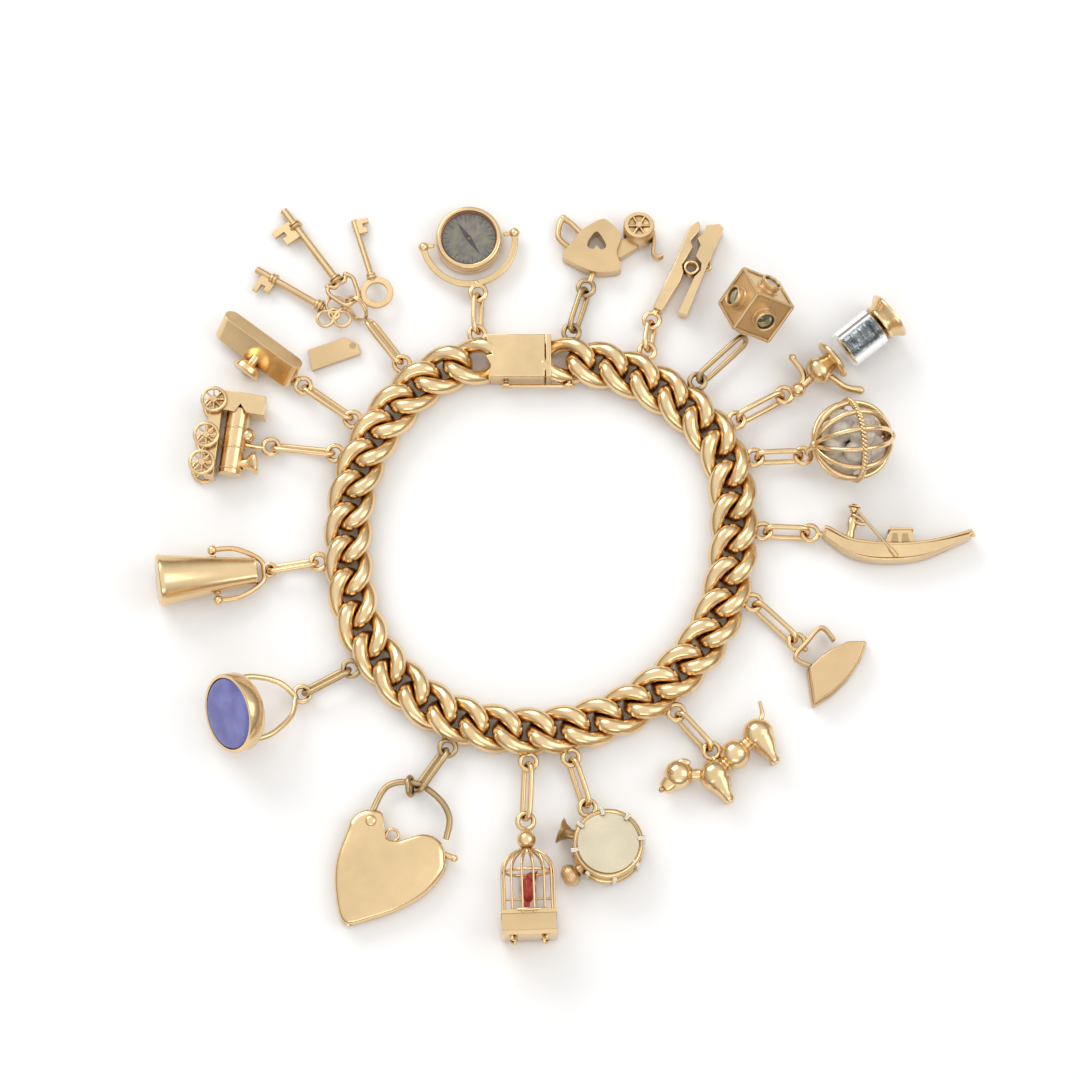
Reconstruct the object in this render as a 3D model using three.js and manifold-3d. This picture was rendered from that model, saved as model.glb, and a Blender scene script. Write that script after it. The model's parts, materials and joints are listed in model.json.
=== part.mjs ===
// Charm bracelet: a curb chain with a box clasp, lying flat, and seventeen charms around it.
// Millimetres, +Z up. The origin is on the surface it lies on, under the middle of the chain.
import * as THREE from 'three';
import { mergeVertices } from 'three/addons/utils/BufferGeometryUtils.js';
import Module from 'manifold-3d';

const wasm = await Module();
wasm.setup();

// ---- driving dimensions ----
const LOOP_RADII = [30.5, 32.6, 31.4, 30.3, 32.3, 31.3, 30.2, 31.1, 31.0, 30.1, 29.8, 30.2]; // every 30 degrees
const LINKS = 35;
const RUNS = [4, 4, 5, 4, 5, 4, 5, 4]; // links joined in each stretch of chain
const CURB = { a: 3.9, b: 2.65, wire: 1.22, twist: 50, blunt: 2.3 }; // half length, half width, wire radius
const CHAIN_Z = 2.3;
const JUMP = { radius: 1.25, wire: 0.38 };
const CLASP = { length: 9.5, width: 7.0, height: 4.6, x: -3.95, y: 30.3, wall: 0.6 };
const CATCH = { x: 4.6, reach: 10.0, eye: 0.95, pin: 0.42 }; // hinge of the safety catch, and its length
const GAP = 0.3; // clearance between neighbouring pieces
const END_SHARE = 0.35; // share of a pitch between the clasp and the middle of the end link

// ---- finishes ----
const finish = (color, roughness, metalness = 1) => new THREE.MeshStandardMaterial({ color, roughness, metalness });
const GOLD = finish(0xe3bd74, 0.25);
const SATIN = finish(0xd9b679, 0.45);
const DULL = finish(0xb49a66, 0.4);
const GLASS = finish(0xdfe6e6, 0.05, 0);
const PEARL = finish(0xe9e5dc, 0.3, 0);
const CORAL = finish(0xa8372c, 0.4, 0);
const CHALCEDONY = finish(0x8f93b8, 0.3, 0);
const DIAL = finish(0xb7b0ad, 0.5, 0);

// ---- solids from three.js geometry ----
function solid(geometry) {
  const bare = geometry.index ? geometry.clone() : mergeVertices(geometry);
  for (const name of Object.keys(bare.attributes)) if (name !== 'position') bare.deleteAttribute(name);
  const merged = mergeVertices(bare, 1e-4);
  const keep = [];
  const index = merged.index.array;
  for (let i = 0; i < index.length; i += 3) {
    const [p, q, r] = [index[i], index[i + 1], index[i + 2]];
    if (p !== q && q !== r && r !== p) keep.push(p, q, r);
  }
  return new wasm.Manifold(new wasm.Mesh({
    numProp: 3,
    vertProperties: new Float32Array(merged.attributes.position.array),
    triVerts: new Uint32Array(keep),
  }));
}

const join = (...solids) => solids.flat(3).reduce((sum, next) => sum.add(next));
const cut = (from, ...tools) => tools.flat(3).reduce((rest, tool) => rest.subtract(tool), from);
const v = (p) => new THREE.Vector3(...p);

// A frame whose +X runs from one point towards another, with +Z as near to up as it can be.
function aim(from, to, roll = 0) {
  const x = v(to).sub(v(from)).normalize();
  const up = Math.abs(x.z) > 0.95 ? new THREE.Vector3(0, 1, 0) : new THREE.Vector3(0, 0, 1);
  const y = up.cross(x).normalize();
  const z = x.clone().cross(y);
  const roller = new THREE.Matrix4().makeRotationX(THREE.MathUtils.degToRad(roll));
  return new THREE.Matrix4().makeBasis(x, y, z).setPosition(v(from)).multiply(roller);
}

const ball = (r, at, stretch = [1, 1, 1], across = 7) =>
  solid(new THREE.SphereGeometry(r, across, Math.max(4, Math.round(across * 0.6))).scale(...stretch).translate(...at));

// A round rod or cone between two points.
function rod(from, to, r0, r1 = r0, sides = 6) {
  const length = v(to).distanceTo(v(from));
  const g = new THREE.CylinderGeometry(r1, r0, length, sides);
  g.rotateZ(-Math.PI / 2).translate(length / 2, 0, 0);
  return solid(g.applyMatrix4(aim(from, to)));
}

const block = (size, at, turn = 0) =>
  solid(new THREE.BoxGeometry(...size).rotateZ(THREE.MathUtils.degToRad(turn)).translate(...at));

// A bent wire with closed ends.
function wire(points, r, steps = 8, sides = 4, tension = 0.5) {
  const curve = new THREE.CatmullRomCurve3(points.map(v), false, 'catmullrom', tension);
  const section = new THREE.Shape(arc(0, 0, r, 0, 360 - 360 / sides, sides - 1).map(([x, y]) => new THREE.Vector2(x, y)));
  return solid(new THREE.ExtrudeGeometry(section, { extrudePath: curve, steps, curveSegments: 1 }));
}

// A closed wire: a torus whose rings are moved to follow a closed path with a known plane.
function closedWire(pathAt, planeAt, r, steps, sides) {
  const g = mergeVertices(new THREE.TorusGeometry(10, 1, sides, steps).deleteAttribute('normal').deleteAttribute('uv'));
  const place = g.attributes.position;
  for (let i = 0; i < place.count; i += 1) {
    const [x, y, z] = [place.getX(i), place.getY(i), place.getZ(i)];
    const turn = Math.atan2(y, x);
    const out = Math.hypot(x, y) - 10;
    const centre = pathAt(turn);
    const along = pathAt(turn + 0.01).sub(pathAt(turn - 0.01)).normalize();
    const side = along.clone().cross(planeAt(turn)).normalize();
    const over = side.clone().cross(along);
    centre.addScaledVector(side, out * r).addScaledVector(over, z * r);
    place.setXYZ(i, centre.x, centre.y, centre.z);
  }
  return solid(g);
}

// An oval ring: half length along X, half width along Y, in the given frame.
function ring(frame, halfLong, halfWide, r, steps = 9, sides = 4) {
  const plane = new THREE.Vector3().setFromMatrixColumn(frame, 2);
  const at = (u) => new THREE.Vector3(halfLong * Math.cos(u), halfWide * Math.sin(u), 0).applyMatrix4(frame);
  return closedWire(at, () => plane, r, steps, sides);
}

// A connector link: straight sides and round ends.
function ovalLink(frame, halfLong, halfWide, r) {
  const plane = new THREE.Vector3().setFromMatrixColumn(frame, 2);
  const straight = halfLong - halfWide;
  const at = (u) => {
    const c = Math.cos(u);
    return new THREE.Vector3(halfWide * c + straight * Math.tanh(4 * c), halfWide * Math.sin(u), 0).applyMatrix4(frame);
  };
  return closedWire(at, () => plane, r, 10, 4);
}

const flat = (at, turn = 0, tilt = 0) => new THREE.Matrix4().makeRotationZ(THREE.MathUtils.degToRad(turn))
  .multiply(new THREE.Matrix4().makeRotationX(THREE.MathUtils.degToRad(tilt))).setPosition(v(at));

// A flat plate cut to an outline, from one height to another.
function slab(outline, z0, z1, holes = [], frame = new THREE.Matrix4()) {
  const shape = new THREE.Shape(outline.map(([x, y]) => new THREE.Vector2(x, y)));
  shape.holes = holes.map((hole) => new THREE.Path(hole.map(([x, y]) => new THREE.Vector2(x, y))));
  return solid(new THREE.ExtrudeGeometry(shape, { depth: z1 - z0, bevelEnabled: false }).translate(0, 0, z0).applyMatrix4(frame));
}

// A turned piece: the profile is [distance along the axis, radius], and starts and ends on the axis.
function turned(profile, from, to, sides = 12) {
  const g = new THREE.LatheGeometry(profile.map(([along, r]) => new THREE.Vector2(r, along)), sides);
  return solid(g.rotateZ(-Math.PI / 2).applyMatrix4(aim(from, to)));
}

// Points on an arc, in degrees.
function arc(cx, cy, r, from, to, steps, squash = 1) {
  return Array.from({ length: steps + 1 }, (_, i) => {
    const a = THREE.MathUtils.degToRad(from + ((to - from) * i) / steps);
    return [cx + r * Math.cos(a), cy + r * squash * Math.sin(a)];
  });
}

// ---- the scene graph ----
const bracelet = new THREE.Group();
const wholeRow = new THREE.Group().add(bracelet);
function piece(name, material, body, parent = bracelet) {
  const [whole, crumb] = body.decompose().sort((p, q) => q.volume() - p.volume());
  if (crumb && crumb.volume() > 0.01) throw new Error(`${name} is in separate bodies (${crumb.volume()})`);
  const { vertProperties, triVerts, numProp } = whole.getMesh();
  const g = new THREE.BufferGeometry();
  const place = new Float32Array((vertProperties.length / numProp) * 3);
  for (let i = 0; i < place.length / 3; i += 1) {
    for (let k = 0; k < 3; k += 1) place[3 * i + k] = vertProperties[numProp * i + k];
  }
  g.setAttribute('position', new THREE.BufferAttribute(place, 3));
  g.setIndex(new THREE.BufferAttribute(new Uint32Array(triVerts), 1));
  g.computeVertexNormals();
  const mesh = new THREE.Mesh(g, material);
  mesh.name = name;
  parent.add(mesh);
  return mesh;
}
function group(at, turn = 0) {
  const g = new THREE.Group();
  g.position.set(at[0], at[1], 0);
  g.rotation.z = THREE.MathUtils.degToRad(turn);
  bracelet.add(g);
  return g;
}

// ---- the chain's path ----
const path = new THREE.CatmullRomCurve3(LOOP_RADII.map((r, i) => {
  const a = (i * Math.PI) / 6;
  return new THREE.Vector3(r * Math.cos(a), r * Math.sin(a), CHAIN_Z);
}), true);
path.arcLengthDivisions = 1000;
const around = path.getLength();

// Share of the path's length at which it crosses a given x near the top of the loop.
function shareAt(x) {
  let best = 0.25;
  for (let s = 0.15; s < 0.35; s += 0.0002) {
    if (Math.abs(path.getPointAt(s).x - x) < Math.abs(path.getPointAt(best).x - x)) best = s;
  }
  return best;
}
const claspRight = CLASP.x + CLASP.length / 2 + 1.15; // end plate's outer face
const claspLeft = CLASP.x - CLASP.length / 2;
const chainLength = around * (1 - (shareAt(claspLeft) - shareAt(claspRight)));
const pitch = chainLength / (LINKS - 1 + 2 * END_SHARE);

// Frame of each link: +X along the chain, +Y towards the middle's far side, +Z up.
function linkFrame(i) {
  const share = (shareAt(claspRight) - ((END_SHARE + i) * pitch) / around + 2) % 1;
  const centre = path.getPointAt(share);
  const along = path.getTangentAt(share).negate();
  const outward = new THREE.Vector3(0, 0, 1).cross(along);
  return new THREE.Matrix4().makeBasis(along, outward, new THREE.Vector3(0, 0, 1)).setPosition(centre);
}

// A curb link: a blunt oval whose two ends are twisted opposite ways about the chain's line.
function curbLink(frame, extra = 0) {
  const { a, b, wire: r, twist, blunt } = CURB;
  const round = (t) => Math.sign(t) * Math.abs(t) ** (2 / blunt);
  const twistAt = (x) => (THREE.MathUtils.degToRad(twist) * x) / a;
  const at = (u) => {
    const [x, y] = [a * round(Math.cos(u)), b * round(Math.sin(u))];
    return new THREE.Vector3(x, y * Math.cos(twistAt(x)), y * Math.sin(twistAt(x))).applyMatrix4(frame);
  };
  const plane = (u) => {
    const f = twistAt(a * round(Math.cos(u)));
    return new THREE.Vector3(0, -Math.sin(f), Math.cos(f)).transformDirection(frame);
  };
  return closedWire(at, plane, r + extra, 9, 5);
}

// ---- where the charms hang: on the chain (x, y wanted) and the charm's own ring (x, y, z) ----
const HANGERS = {
  keys: { chain: [-22.3, 31.4], charm: [-27.6, 37.0, 2.2], tilt: 60, ringRadius: 1.9 },
  compass: { chain: [-9.6, 36.6], charm: [-9.9, 41.5, 1.8] },
  pierced_plate: { chain: [5.2, 36.8], charm: [7.4, 42.4, 1.6] },
  peg: { chain: [18.1, 33.9], charm: [17.9, 37.0, 1.5] },
  cube: { chain: [26.2, 28.2], charm: [33.0, 34.0, 2.4] },
  siphon: { chain: [32.8, 20.1], charm: [38.9, 24.6, 1.6] },
  pearl_ball: { chain: [35.5, 13.9], charm: [41.7, 14.4, 2.2] },
  gondola: { chain: [36.4, 1.9], charm: [42.6, 1.9, 1.6] },
  iron: { chain: [34.9, -11.7], charm: [40.2, -15.7, 1.6] },
  dog: { chain: [23.4, -28.0], charm: [26.7, -33.0, 1.7] },
  drum: { chain: [5.7, -36.6], charm: [7.4, -42.0, 1.8] },
  birdcage: { chain: [-1.9, -38.2], charm: [-2.2, -44.2, 2.2] },
  padlock: { chain: [-15.2, -35.0], charm: [-19.2, -39.6, 1.9] },
  seal: { chain: [-31.6, -20.9], charm: [-37.1, -24.0, 1.7] },
  cone: { chain: [-37.1, -3.1], charm: [-42.9, -4.1, 1.6] },
  locomotive: { chain: [-34.7, 16.4], charm: [-42.6, 16.0, 1.7] },
  tablet: { chain: [-30.6, 22.4], charm: [-37.7, 26.1, 1.7] },
};
const CONNECTOR = { wire: 0.36, halfWide: 1.3, tilt: 62, tuck: 0.35 };

// The jump ring is soldered to the outside of the nearest link.
function hang(wanted) {
  let best = null;
  for (let i = 0; i < LINKS; i += 1) {
    const frame = linkFrame(i);
    const local = v([wanted[0], wanted[1], CHAIN_Z]).applyMatrix4(frame.clone().invert());
    const along = THREE.MathUtils.clamp(local.x, -1.3, 1.3);
    const miss = Math.hypot(local.x - along, local.y - 4.9);
    if (!best || miss < best.miss) best = { i, miss, at: [along, 4.85 - 0.2 * along ** 2, 0], frame };
  }
  best.centre = v(best.at).applyMatrix4(best.frame);
  return best;
}
for (const hanger of Object.values(HANGERS)) hanger.fixed = hang(hanger.chain);

// ---- chain ----
function chain() {
  let first = 0;
  RUNS.forEach((count, k) => {
    const links = Array.from({ length: count }, (_, j) => curbLink(linkFrame(first + j)));
    const rings = Object.values(HANGERS).filter(({ fixed }) => fixed.i >= first && fixed.i < first + count)
      .map(({ fixed }) => ring(flat(fixed.centre.toArray(), 0), JUMP.radius, JUMP.radius, JUMP.wire, 8, 4));
    let run = join(links, rings);
    if (k < RUNS.length - 1) run = cut(run, curbLink(linkFrame(first + count), GAP / 2));
    const room = [CLASP.length + 2.3 + GAP, CLASP.width + GAP, CLASP.height + GAP + 1];
    if (k === 0 || k === RUNS.length - 1) run = cut(run, block(room, [CLASP.x + 0.55, CLASP.y, CHAIN_Z]));
    if (k === 0) run = cut(run, block([5, 2.4, 1.8], [CATCH.x - 0.4, CLASP.y - CLASP.width / 2 + 0.3, CHAIN_Z]));
    piece(`chain_run_${k + 1}`, GOLD, run);
    first += count;
  });
}

// ---- box clasp, its tongue, and the safety catch along its inner side ----
function clasp() {
  const { length, width, height, x, y, wall } = CLASP;
  const z = CHAIN_Z;
  const hollow = [length - wall, width - 2 * wall, height - 2 * wall];
  const notch = slab([[-1.2, 1.5], [1.3, 0.9], [0.4, 0.2], [1.0, -1.4], [-1.2, -1.0]], -9, 9);
  const notchAt = (sy) => solidMove(notch, [x - length / 2, y + sy, 0]);
  const box = cut(block([length, width, height], [x, y, z]), block(hollow, [x + wall, y, z]), notchAt(1.0));
  const head = ball(0.4, [CATCH.x - CATCH.reach, y - width / 2 - 0.2, z]);
  piece('clasp_box', GOLD, join(box, head));
  const plate = block([0.85, width, height], [x + length / 2 + GAP / 2 + 0.43, y, z]);
  const blade = block([6.4, 4.6, 0.6], [x + length / 2 - 2.6, y, z - 0.6]);
  const spring = block([5.2, 4.6, 0.4], [x + length / 2 - 2.6, y, z + 0.5]);
  const hinge = rod([CATCH.x, y - width / 2 + 0.6, z], [CATCH.x, y - width / 2 - 1.3, z], CATCH.pin);
  const bracket = block([4.0, 0.8, 1.2], [CATCH.x - 1.3, y - width / 2 + 0.45, z]);
  piece('clasp_tongue', GOLD, join(plate, blade, spring, block([0.6, 4.6, 1.6], [x + length / 2 + 0.1, y, z]),
    bracket, hinge));
}

// Moves a solid by rebuilding its geometry.
function solidMove(body, by) {
  const { vertProperties, triVerts, numProp } = body.getMesh();
  const moved = new Float32Array(vertProperties);
  for (let i = 0; i < moved.length; i += numProp) for (let k = 0; k < 3; k += 1) moved[i + k] += by[k];
  return new wasm.Manifold(new wasm.Mesh({ numProp, vertProperties: moved, triVerts }));
}

// ---- connectors: each passes through the chain's jump ring and the charm's own ring ----
function connectors() {
  for (const [name, { fixed, charm, tilt }] of Object.entries(HANGERS)) {
    const [from, to] = [fixed.centre, v(charm)];
    const half = from.distanceTo(to) / 2 - CONNECTOR.tuck;
    const frame = aim(from.toArray(), charm, tilt ?? CONNECTOR.tilt).setPosition(from.clone().add(to).divideScalar(2));
    piece(`link_${name}`, GOLD, ovalLink(frame, half, CONNECTOR.halfWide, CONNECTOR.wire));
  }
}

const ownRing = (z, radius = 1.25, r = JUMP.wire) => ring(flat([0, 0, z]), radius, radius, r, 9, 4);

// ---- three keys and a tag on one ring ----
function keys() {
  const g = group(HANGERS.keys.charm);
  const held = aim([0, 0, 2.2], [-1, 1, 2.2], -62).setPosition(v([-1.7, 1.8, 2.2]));
  piece('key_ring', GOLD, ring(held, 2.15, 2.0, 0.4, 12, 5), g);
  // bow centre, tip, bow radius, shaft radius, bit [distance from the bow, length, depth]
  const make = (name, bow, tip, bowR, shaftR, bit) => {
    const length = v(tip).distanceTo(v(bow));
    const [at, long, deep] = bit;
    const key = join(
      ring(flat([0, 0, 0]), bowR, bowR, 0.42, 12, 6),
      rod([bowR, 0, 0], [length, 0, 0], shaftR),
      rod([bowR + 0.2, 0, 0], [bowR + 1.4, 0, 0], shaftR * 1.6),
      block([long, Math.abs(deep), 0.9], [at, deep / 2, 0]),
      block([long * 0.4, Math.abs(deep) * 1.35, 0.9], [at + long * 0.3, deep * 0.675, 0]),
    );
    const mesh = piece(name, SATIN, key, g);
    mesh.applyMatrix4(aim(bow, tip));
  };
  make('key_large', [-3.4, 4.3, 2.6], [-13.7, 18.7, 0.8], 2.0, 0.65, [14.0, 3.2, 3.0]);
  make('key_left', [-5.3, 1.0, 1.7], [-17.9, 8.7, 1.0], 2.1, 0.6, [12.2, 2.6, 2.6]);
  make('key_small', [1.5, 4.4, 2.2], [-2.4, 17.0, 0.8], 2.2, 0.5, [11.8, 2.4, -1.8]);
  const tag = slab([[-9.5, -4.8], [-3.6, -2.7], [-1.3, -3.9], [-1.1, -5.4], [-8.7, -8.2]], 0.2, 1.2,
    [arc(-2.3, -4.1, 0.55, 0, 315, 7)]);
  piece('key_tag', SATIN, tag, g);
}

// ---- compass: a cased dial swinging in a half-ring yoke ----
const COMPASS = { pivot: 9.0, caseR: 5.3, yokeR: 7.4, z: 1.9 };
function compass() {
  const { pivot, caseR, yokeR, z } = COMPASS;
  const g = group(HANGERS.compass.charm, 99.5);
  const halfRing = slab([...arc(pivot, 0, yokeR + 0.45, 90, 270, 18), ...arc(pivot, 0, yokeR - 0.45, 270, 90, 18)],
    z - 0.4, z + 0.4);
  const ends = [-1, 1].map((s) => ball(0.85, [pivot, s * yokeR, z]));
  const pins = [-1, 1].map((s) => rod([pivot, s * (caseR + 0.35), z], [pivot, s * yokeR, z], 0.35));
  piece('compass_yoke', GOLD, join(halfRing, ends, pins, ownRing(z), rod([1.2, 0, z], [2.0, 0, z], 0.45)), g);
  const drum = turned([[0, 0], [0, caseR - 0.5], [0.5, caseR], [2.8, caseR], [3.2, caseR - 0.4], [3.2, caseR - 0.8],
    [1.6, caseR - 0.8], [1.6, 0]], [pivot, 0, z - 1.6], [pivot, 0, z + 1.6], 20);
  piece('compass_case', GOLD, drum, g);
  piece('compass_dial', DIAL, turned([[0, 0], [0, caseR - 1.0], [0.5, caseR - 1.0], [0.5, 0]],
    [pivot, 0, z + 0.2], [pivot, 0, z + 0.7], 24), g);
}

// ---- a fan-shaped plate pierced with a heart, with a wheel on its arm ----
function piercedPlate() {
  const g = group(HANGERS.pierced_plate.charm);
  const outline = [[-3.8, 5.2], ...arc(2.0, 6.8, 4.6, 200, 300, 8).slice(1, -1), [5.6, 2.9], [4.9, 5.6],
    [5.6, 8.4], [3.8, 10.7], [2.4, 11.2], [-0.6, 9.4]];
  const heart = [[1.7, 9.1], [0.4, 7.6], [0.3, 6.5], [1.2, 6.2], [1.7, 6.8], [2.4, 6.1], [3.2, 6.5], [2.9, 7.6]];
  const plate = slab(outline, 0.2, 2.9, [heart.slice().reverse()]);
  const arm = slab([[4.6, 4.8], [5.6, 5.0], [8.2, 6.6], [7.8, 8.6], [4.6, 7.4]], 0.4, 2.4);
  const wheel = turned([[0, 0], [0, 2.5], [3.6, 2.5], [3.6, 1.7], [3.1, 1.7], [3.1, 0]], [8.5, 9.2, 0.5], [8.5, 9.9, 4.2], 14);
  const strap = slab([[10.5, 9.4], [11.2, 9.2], [11.2, 5.8], [12.4, 5.6], [12.4, 5.0], [10.6, 5.0]], 0.4, 2.6);
  const scoop = wire([[-2.2, 6.4, 1.6], [-4.4, 8.6, 1.4], [-3.9, 11.6, 1.2], [-2.6, 11.2, 1.2], [-0.6, 9.0, 1.6]], 0.5, 10);
  const stem = rod([0.6, 1.0, 1.6], [1.2, 2.8, 1.6], 0.5);
  piece('heart_plate', SATIN, join(plate, arm, wheel, strap, scoop, ball(0.6, [-3.6, 11.9, 1.2]), stem, ownRing(1.6)), g);
}

// ---- clothes peg: two legs turning on the coil of their spring ----
const PEG = { coil: [6.4, 8.6], z: 1.6, coilR: 1.5 };
function peg() {
  const g = group(HANGERS.peg.charm);
  const { coil: [cx, cy], z, coilR } = PEG;
  const clear = rod([cx, cy, -1], [cx, cy, 5], coilR + GAP);
  const left = slab([[0.2, 1.9], [1.6, 1.2], [5.6, 8.0], [7.9, 15.4], [7.6, 16.3], [6.2, 15.4], [3.4, 8.6]], z - 1.2, z + 1.2);
  const right = slab([[4.2, 1.0], [5.6, 0.6], [8.4, 7.6], [11.6, 15.0], [11.0, 15.8], [8.6, 15.6], [6.7, 8.6]], z - 1.2, z + 1.2);
  const coil = rod([cx, cy, z - 1.3], [cx, cy, z + 1.3], coilR, coilR, 14);
  const keeper = rod([cx - 2.6, cy + 0.6, z], [cx, cy, z], 0.4);
  const eye = rod([0.2, 0.9, z], [1.0, 1.9, z], 0.45);
  piece('peg_leg_left', GOLD, join(cut(left, clear), coil, keeper, eye, ownRing(z)), g);
  const bend = wire([[cx + 2.0, cy + 0.9, z], [cx + 2.9, cy + 1.2, z], [cx + 3.0, cy + 0.1, z], [cx + 2.0, cy - 0.4, z]], 0.35, 8);
  piece('peg_leg_right', GOLD, join(cut(right, clear), bend), g);
}

// ---- hollow-sided cube set with stones in tube collets, standing on one corner ----
function cube() {
  const g = group(HANGERS.cube.charm);
  const side = 7.3;
  const centre = [1.3, 4.0, 6.55];
  const turn = new THREE.Matrix4().makeRotationAxis(v([0, 0, 1]), THREE.MathUtils.degToRad(80))
    .multiply(new THREE.Matrix4().makeRotationAxis(v([1, 0, 0]), THREE.MathUtils.degToRad(35.26)))
    .multiply(new THREE.Matrix4().makeRotationAxis(v([0, 1, 0]), THREE.MathUtils.degToRad(45)));
  const body = new THREE.BoxGeometry(side, side, side);
  const spun = new THREE.Group();
  spun.position.set(...centre);
  spun.quaternion.setFromRotationMatrix(turn);
  g.add(spun);
  const h = side / 2;
  const collets = [[1, 0, 0], [-1, 0, 0], [0, 1, 0], [0, -1, 0], [0, 0, 1], [0, 0, -1]]
    .map((d) => rod(d.map((k) => k * (h - 0.5)), d.map((k) => k * (h + 1.3)), 1.55, 1.75, 12));
  piece('cube', SATIN, join(solid(body), collets), spun);
}

// ---- glass-bodied siphon with a flared foot ----
function siphon() {
  const g = group(HANGERS.siphon.charm, 0);
  const axis = (t) => [5.4 + 10.8 * t, 3.4 + 8.5 * t, 3.5 + 0.9 * t];
  const pear = turned([[0, 0], [0.3, 1.6], [1.8, 2.3], [3.4, 1.6], [4.0, 1.4], [4.2, 3.3], [4.9, 3.4], [5.2, 2.4], [5.2, 0]],
    [4.0, 2.4, 3.4], axis(1), 14);
  const arm1 = wire([[2.2, 0.7, 2.2], [3.0, 3.0, 2.6], [1.5, 5.4, 2.8], [1.3, 5.7, 2.8]], 0.5, 8);
  const arm2 = wire([[5.2, 3.2, 3.0], [7.4, 2.5, 2.8], [9.6, 1.1, 2.2], [12.1, 0.7, 1.6]], 0.62, 8);
  const neck = wire([[2.2, 0.7, 2.2], [3.4, 1.6, 2.5], [4.6, 2.8, 3.0]], 0.6, 6);
  piece('siphon_head', GOLD, join(pear, ball(1.2, [2.2, 0.7, 2.2]), arm1, neck, arm2, ownRing(1.6),
    rod([1.2, 0.2, 1.6], [2.2, 0.7, 2.2], 0.4)), g);
  piece('siphon_glass', GLASS, rod(axis(0.37), axis(0.86), 3.2, 3.2, 20), g);
  piece('siphon_foot', GOLD, turned([[0, 0], [0, 3.0], [0.6, 3.0], [2.0, 4.0], [2.5, 4.0], [2.5, 0]], axis(0.885), axis(1.2), 18), g);
}

// ---- pearls in a round cage ----
function pearlBall() {
  const g = group(HANGERS.pearl_ball.charm, 10);
  const r = 6.1;
  const [cx, cy, z] = [7.5, 0, 6.65];
  const tiltFrame = aim([cx, cy, z], [cx + 10, 0, z - 2]);
  const meridians = Array.from({ length: 6 }, (_, i) => {
    const points = [0, 36, 72, 108, 144, 180].map((deg) => {
      const a = THREE.MathUtils.degToRad(deg);
      const spin = (i * Math.PI) / 3;
      const p = new THREE.Vector3(Math.cos(a), Math.sin(a) * Math.cos(spin), Math.sin(a) * Math.sin(spin));
      return p.multiplyScalar(r).applyMatrix4(tiltFrame).toArray();
    });
    return wire(points, 0.4, 6, 4);
  });
  const girdle = ring(tiltFrame.clone().multiply(new THREE.Matrix4().makeRotationY(Math.PI / 2)), r, r, 0.6, 12, 4);
  const end = [cx + 6.1, cy, z - 1.2];
  const top = [cx - 6.0, cy, z + 1.2];
  const stem = wire([top, [cx - 6.9, 0, z - 1.0], [cx - 7.0, 0, 3.4], [1.2, 0, 2.2]], 0.42, 8);
  piece('pearl_cage', GOLD, join(meridians, girdle, ball(0.9, end), ball(0.8, top), stem, ownRing(2.2)), g);
  const inner = [[0, 0, 0], [1, 1, 1], [-1, -1, 1], [1, -1, -1], [-1, 1, -1]].map((d) =>
    ball(2.7, [cx + d[0] * 1.4, cy + d[1] * 1.4, z + d[2] * 1.4], [1, 1, 1], 6));
  piece('pearls', PEARL, join(inner), g);
}

// ---- gondola lying on its side, with its gondolier, oar and cabin ----
function gondola() {
  const g = group(HANGERS.gondola.charm);
  const hull = slab([[1.9, -0.3], [2.6, -0.6], [5.0, -3.0], [8.0, -4.4], [12.0, -4.8], [17.0, -4.4], [21.5, -2.6],
    [25.6, -0.6], [25.4, 0.0], [21.0, -1.2], [16.4, -2.0], [12.0, -2.1], [6.4, -1.4], [3.0, 0.4], [2.2, 0.6]], 0.2, 3.6);
  const cabin = slab([[11.4, -2.4], [16.6, -2.4], [15.8, 0.6], [12.6, 0.6]], 0.7, 3.1);
  const man = [rod([6.0, -1.8, 2.0], [6.6, 1.0, 2.0], 0.5, 0.75), rod([6.6, 1.0, 2.0], [6.9, 3.2, 2.0], 0.8, 0.5),
    ball(0.75, [6.9, 3.7, 2.0]), rod([6.8, 2.9, 2.0], [7.9, 1.8, 2.4], 0.4)];
  const oar = rod([7.4, 3.4, 2.4], [13.2, -4.0, 3.6], 0.3);
  piece('gondola', GOLD, join(hull, cabin, man, oar, ownRing(1.6), rod([1.1, 0, 1.6], [2.6, -0.2, 1.6], 0.4)), g);
}

// ---- flat iron on its side, sole to the front, with its strap handle ----
function iron() {
  const g = group(HANGERS.iron.charm);
  const sole = slab([[1.5, -4.4], [2.3, -10.4], [5.2, -8.6], [7.8, -6.1], [9.9, -3.0], [11.1, 0.2], [8.1, 0.1],
    [5.3, -1.2], [3.2, -2.7]], 0.2, 3.4);
  const handle = slab([[2.4, -4.2], [-0.6, -2.6], [3.9, 2.6], [6.2, 0.2], [5.6, -0.4], [3.9, 1.4], [0.5, -2.5], [2.8, -3.5]],
    0.8, 2.6);
  piece('flat_iron', SATIN, join(sole, handle, ownRing(1.7), rod([0.9, -0.8, 1.7], [1.6, -1.4, 1.7], 0.4)), g);
}

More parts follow.
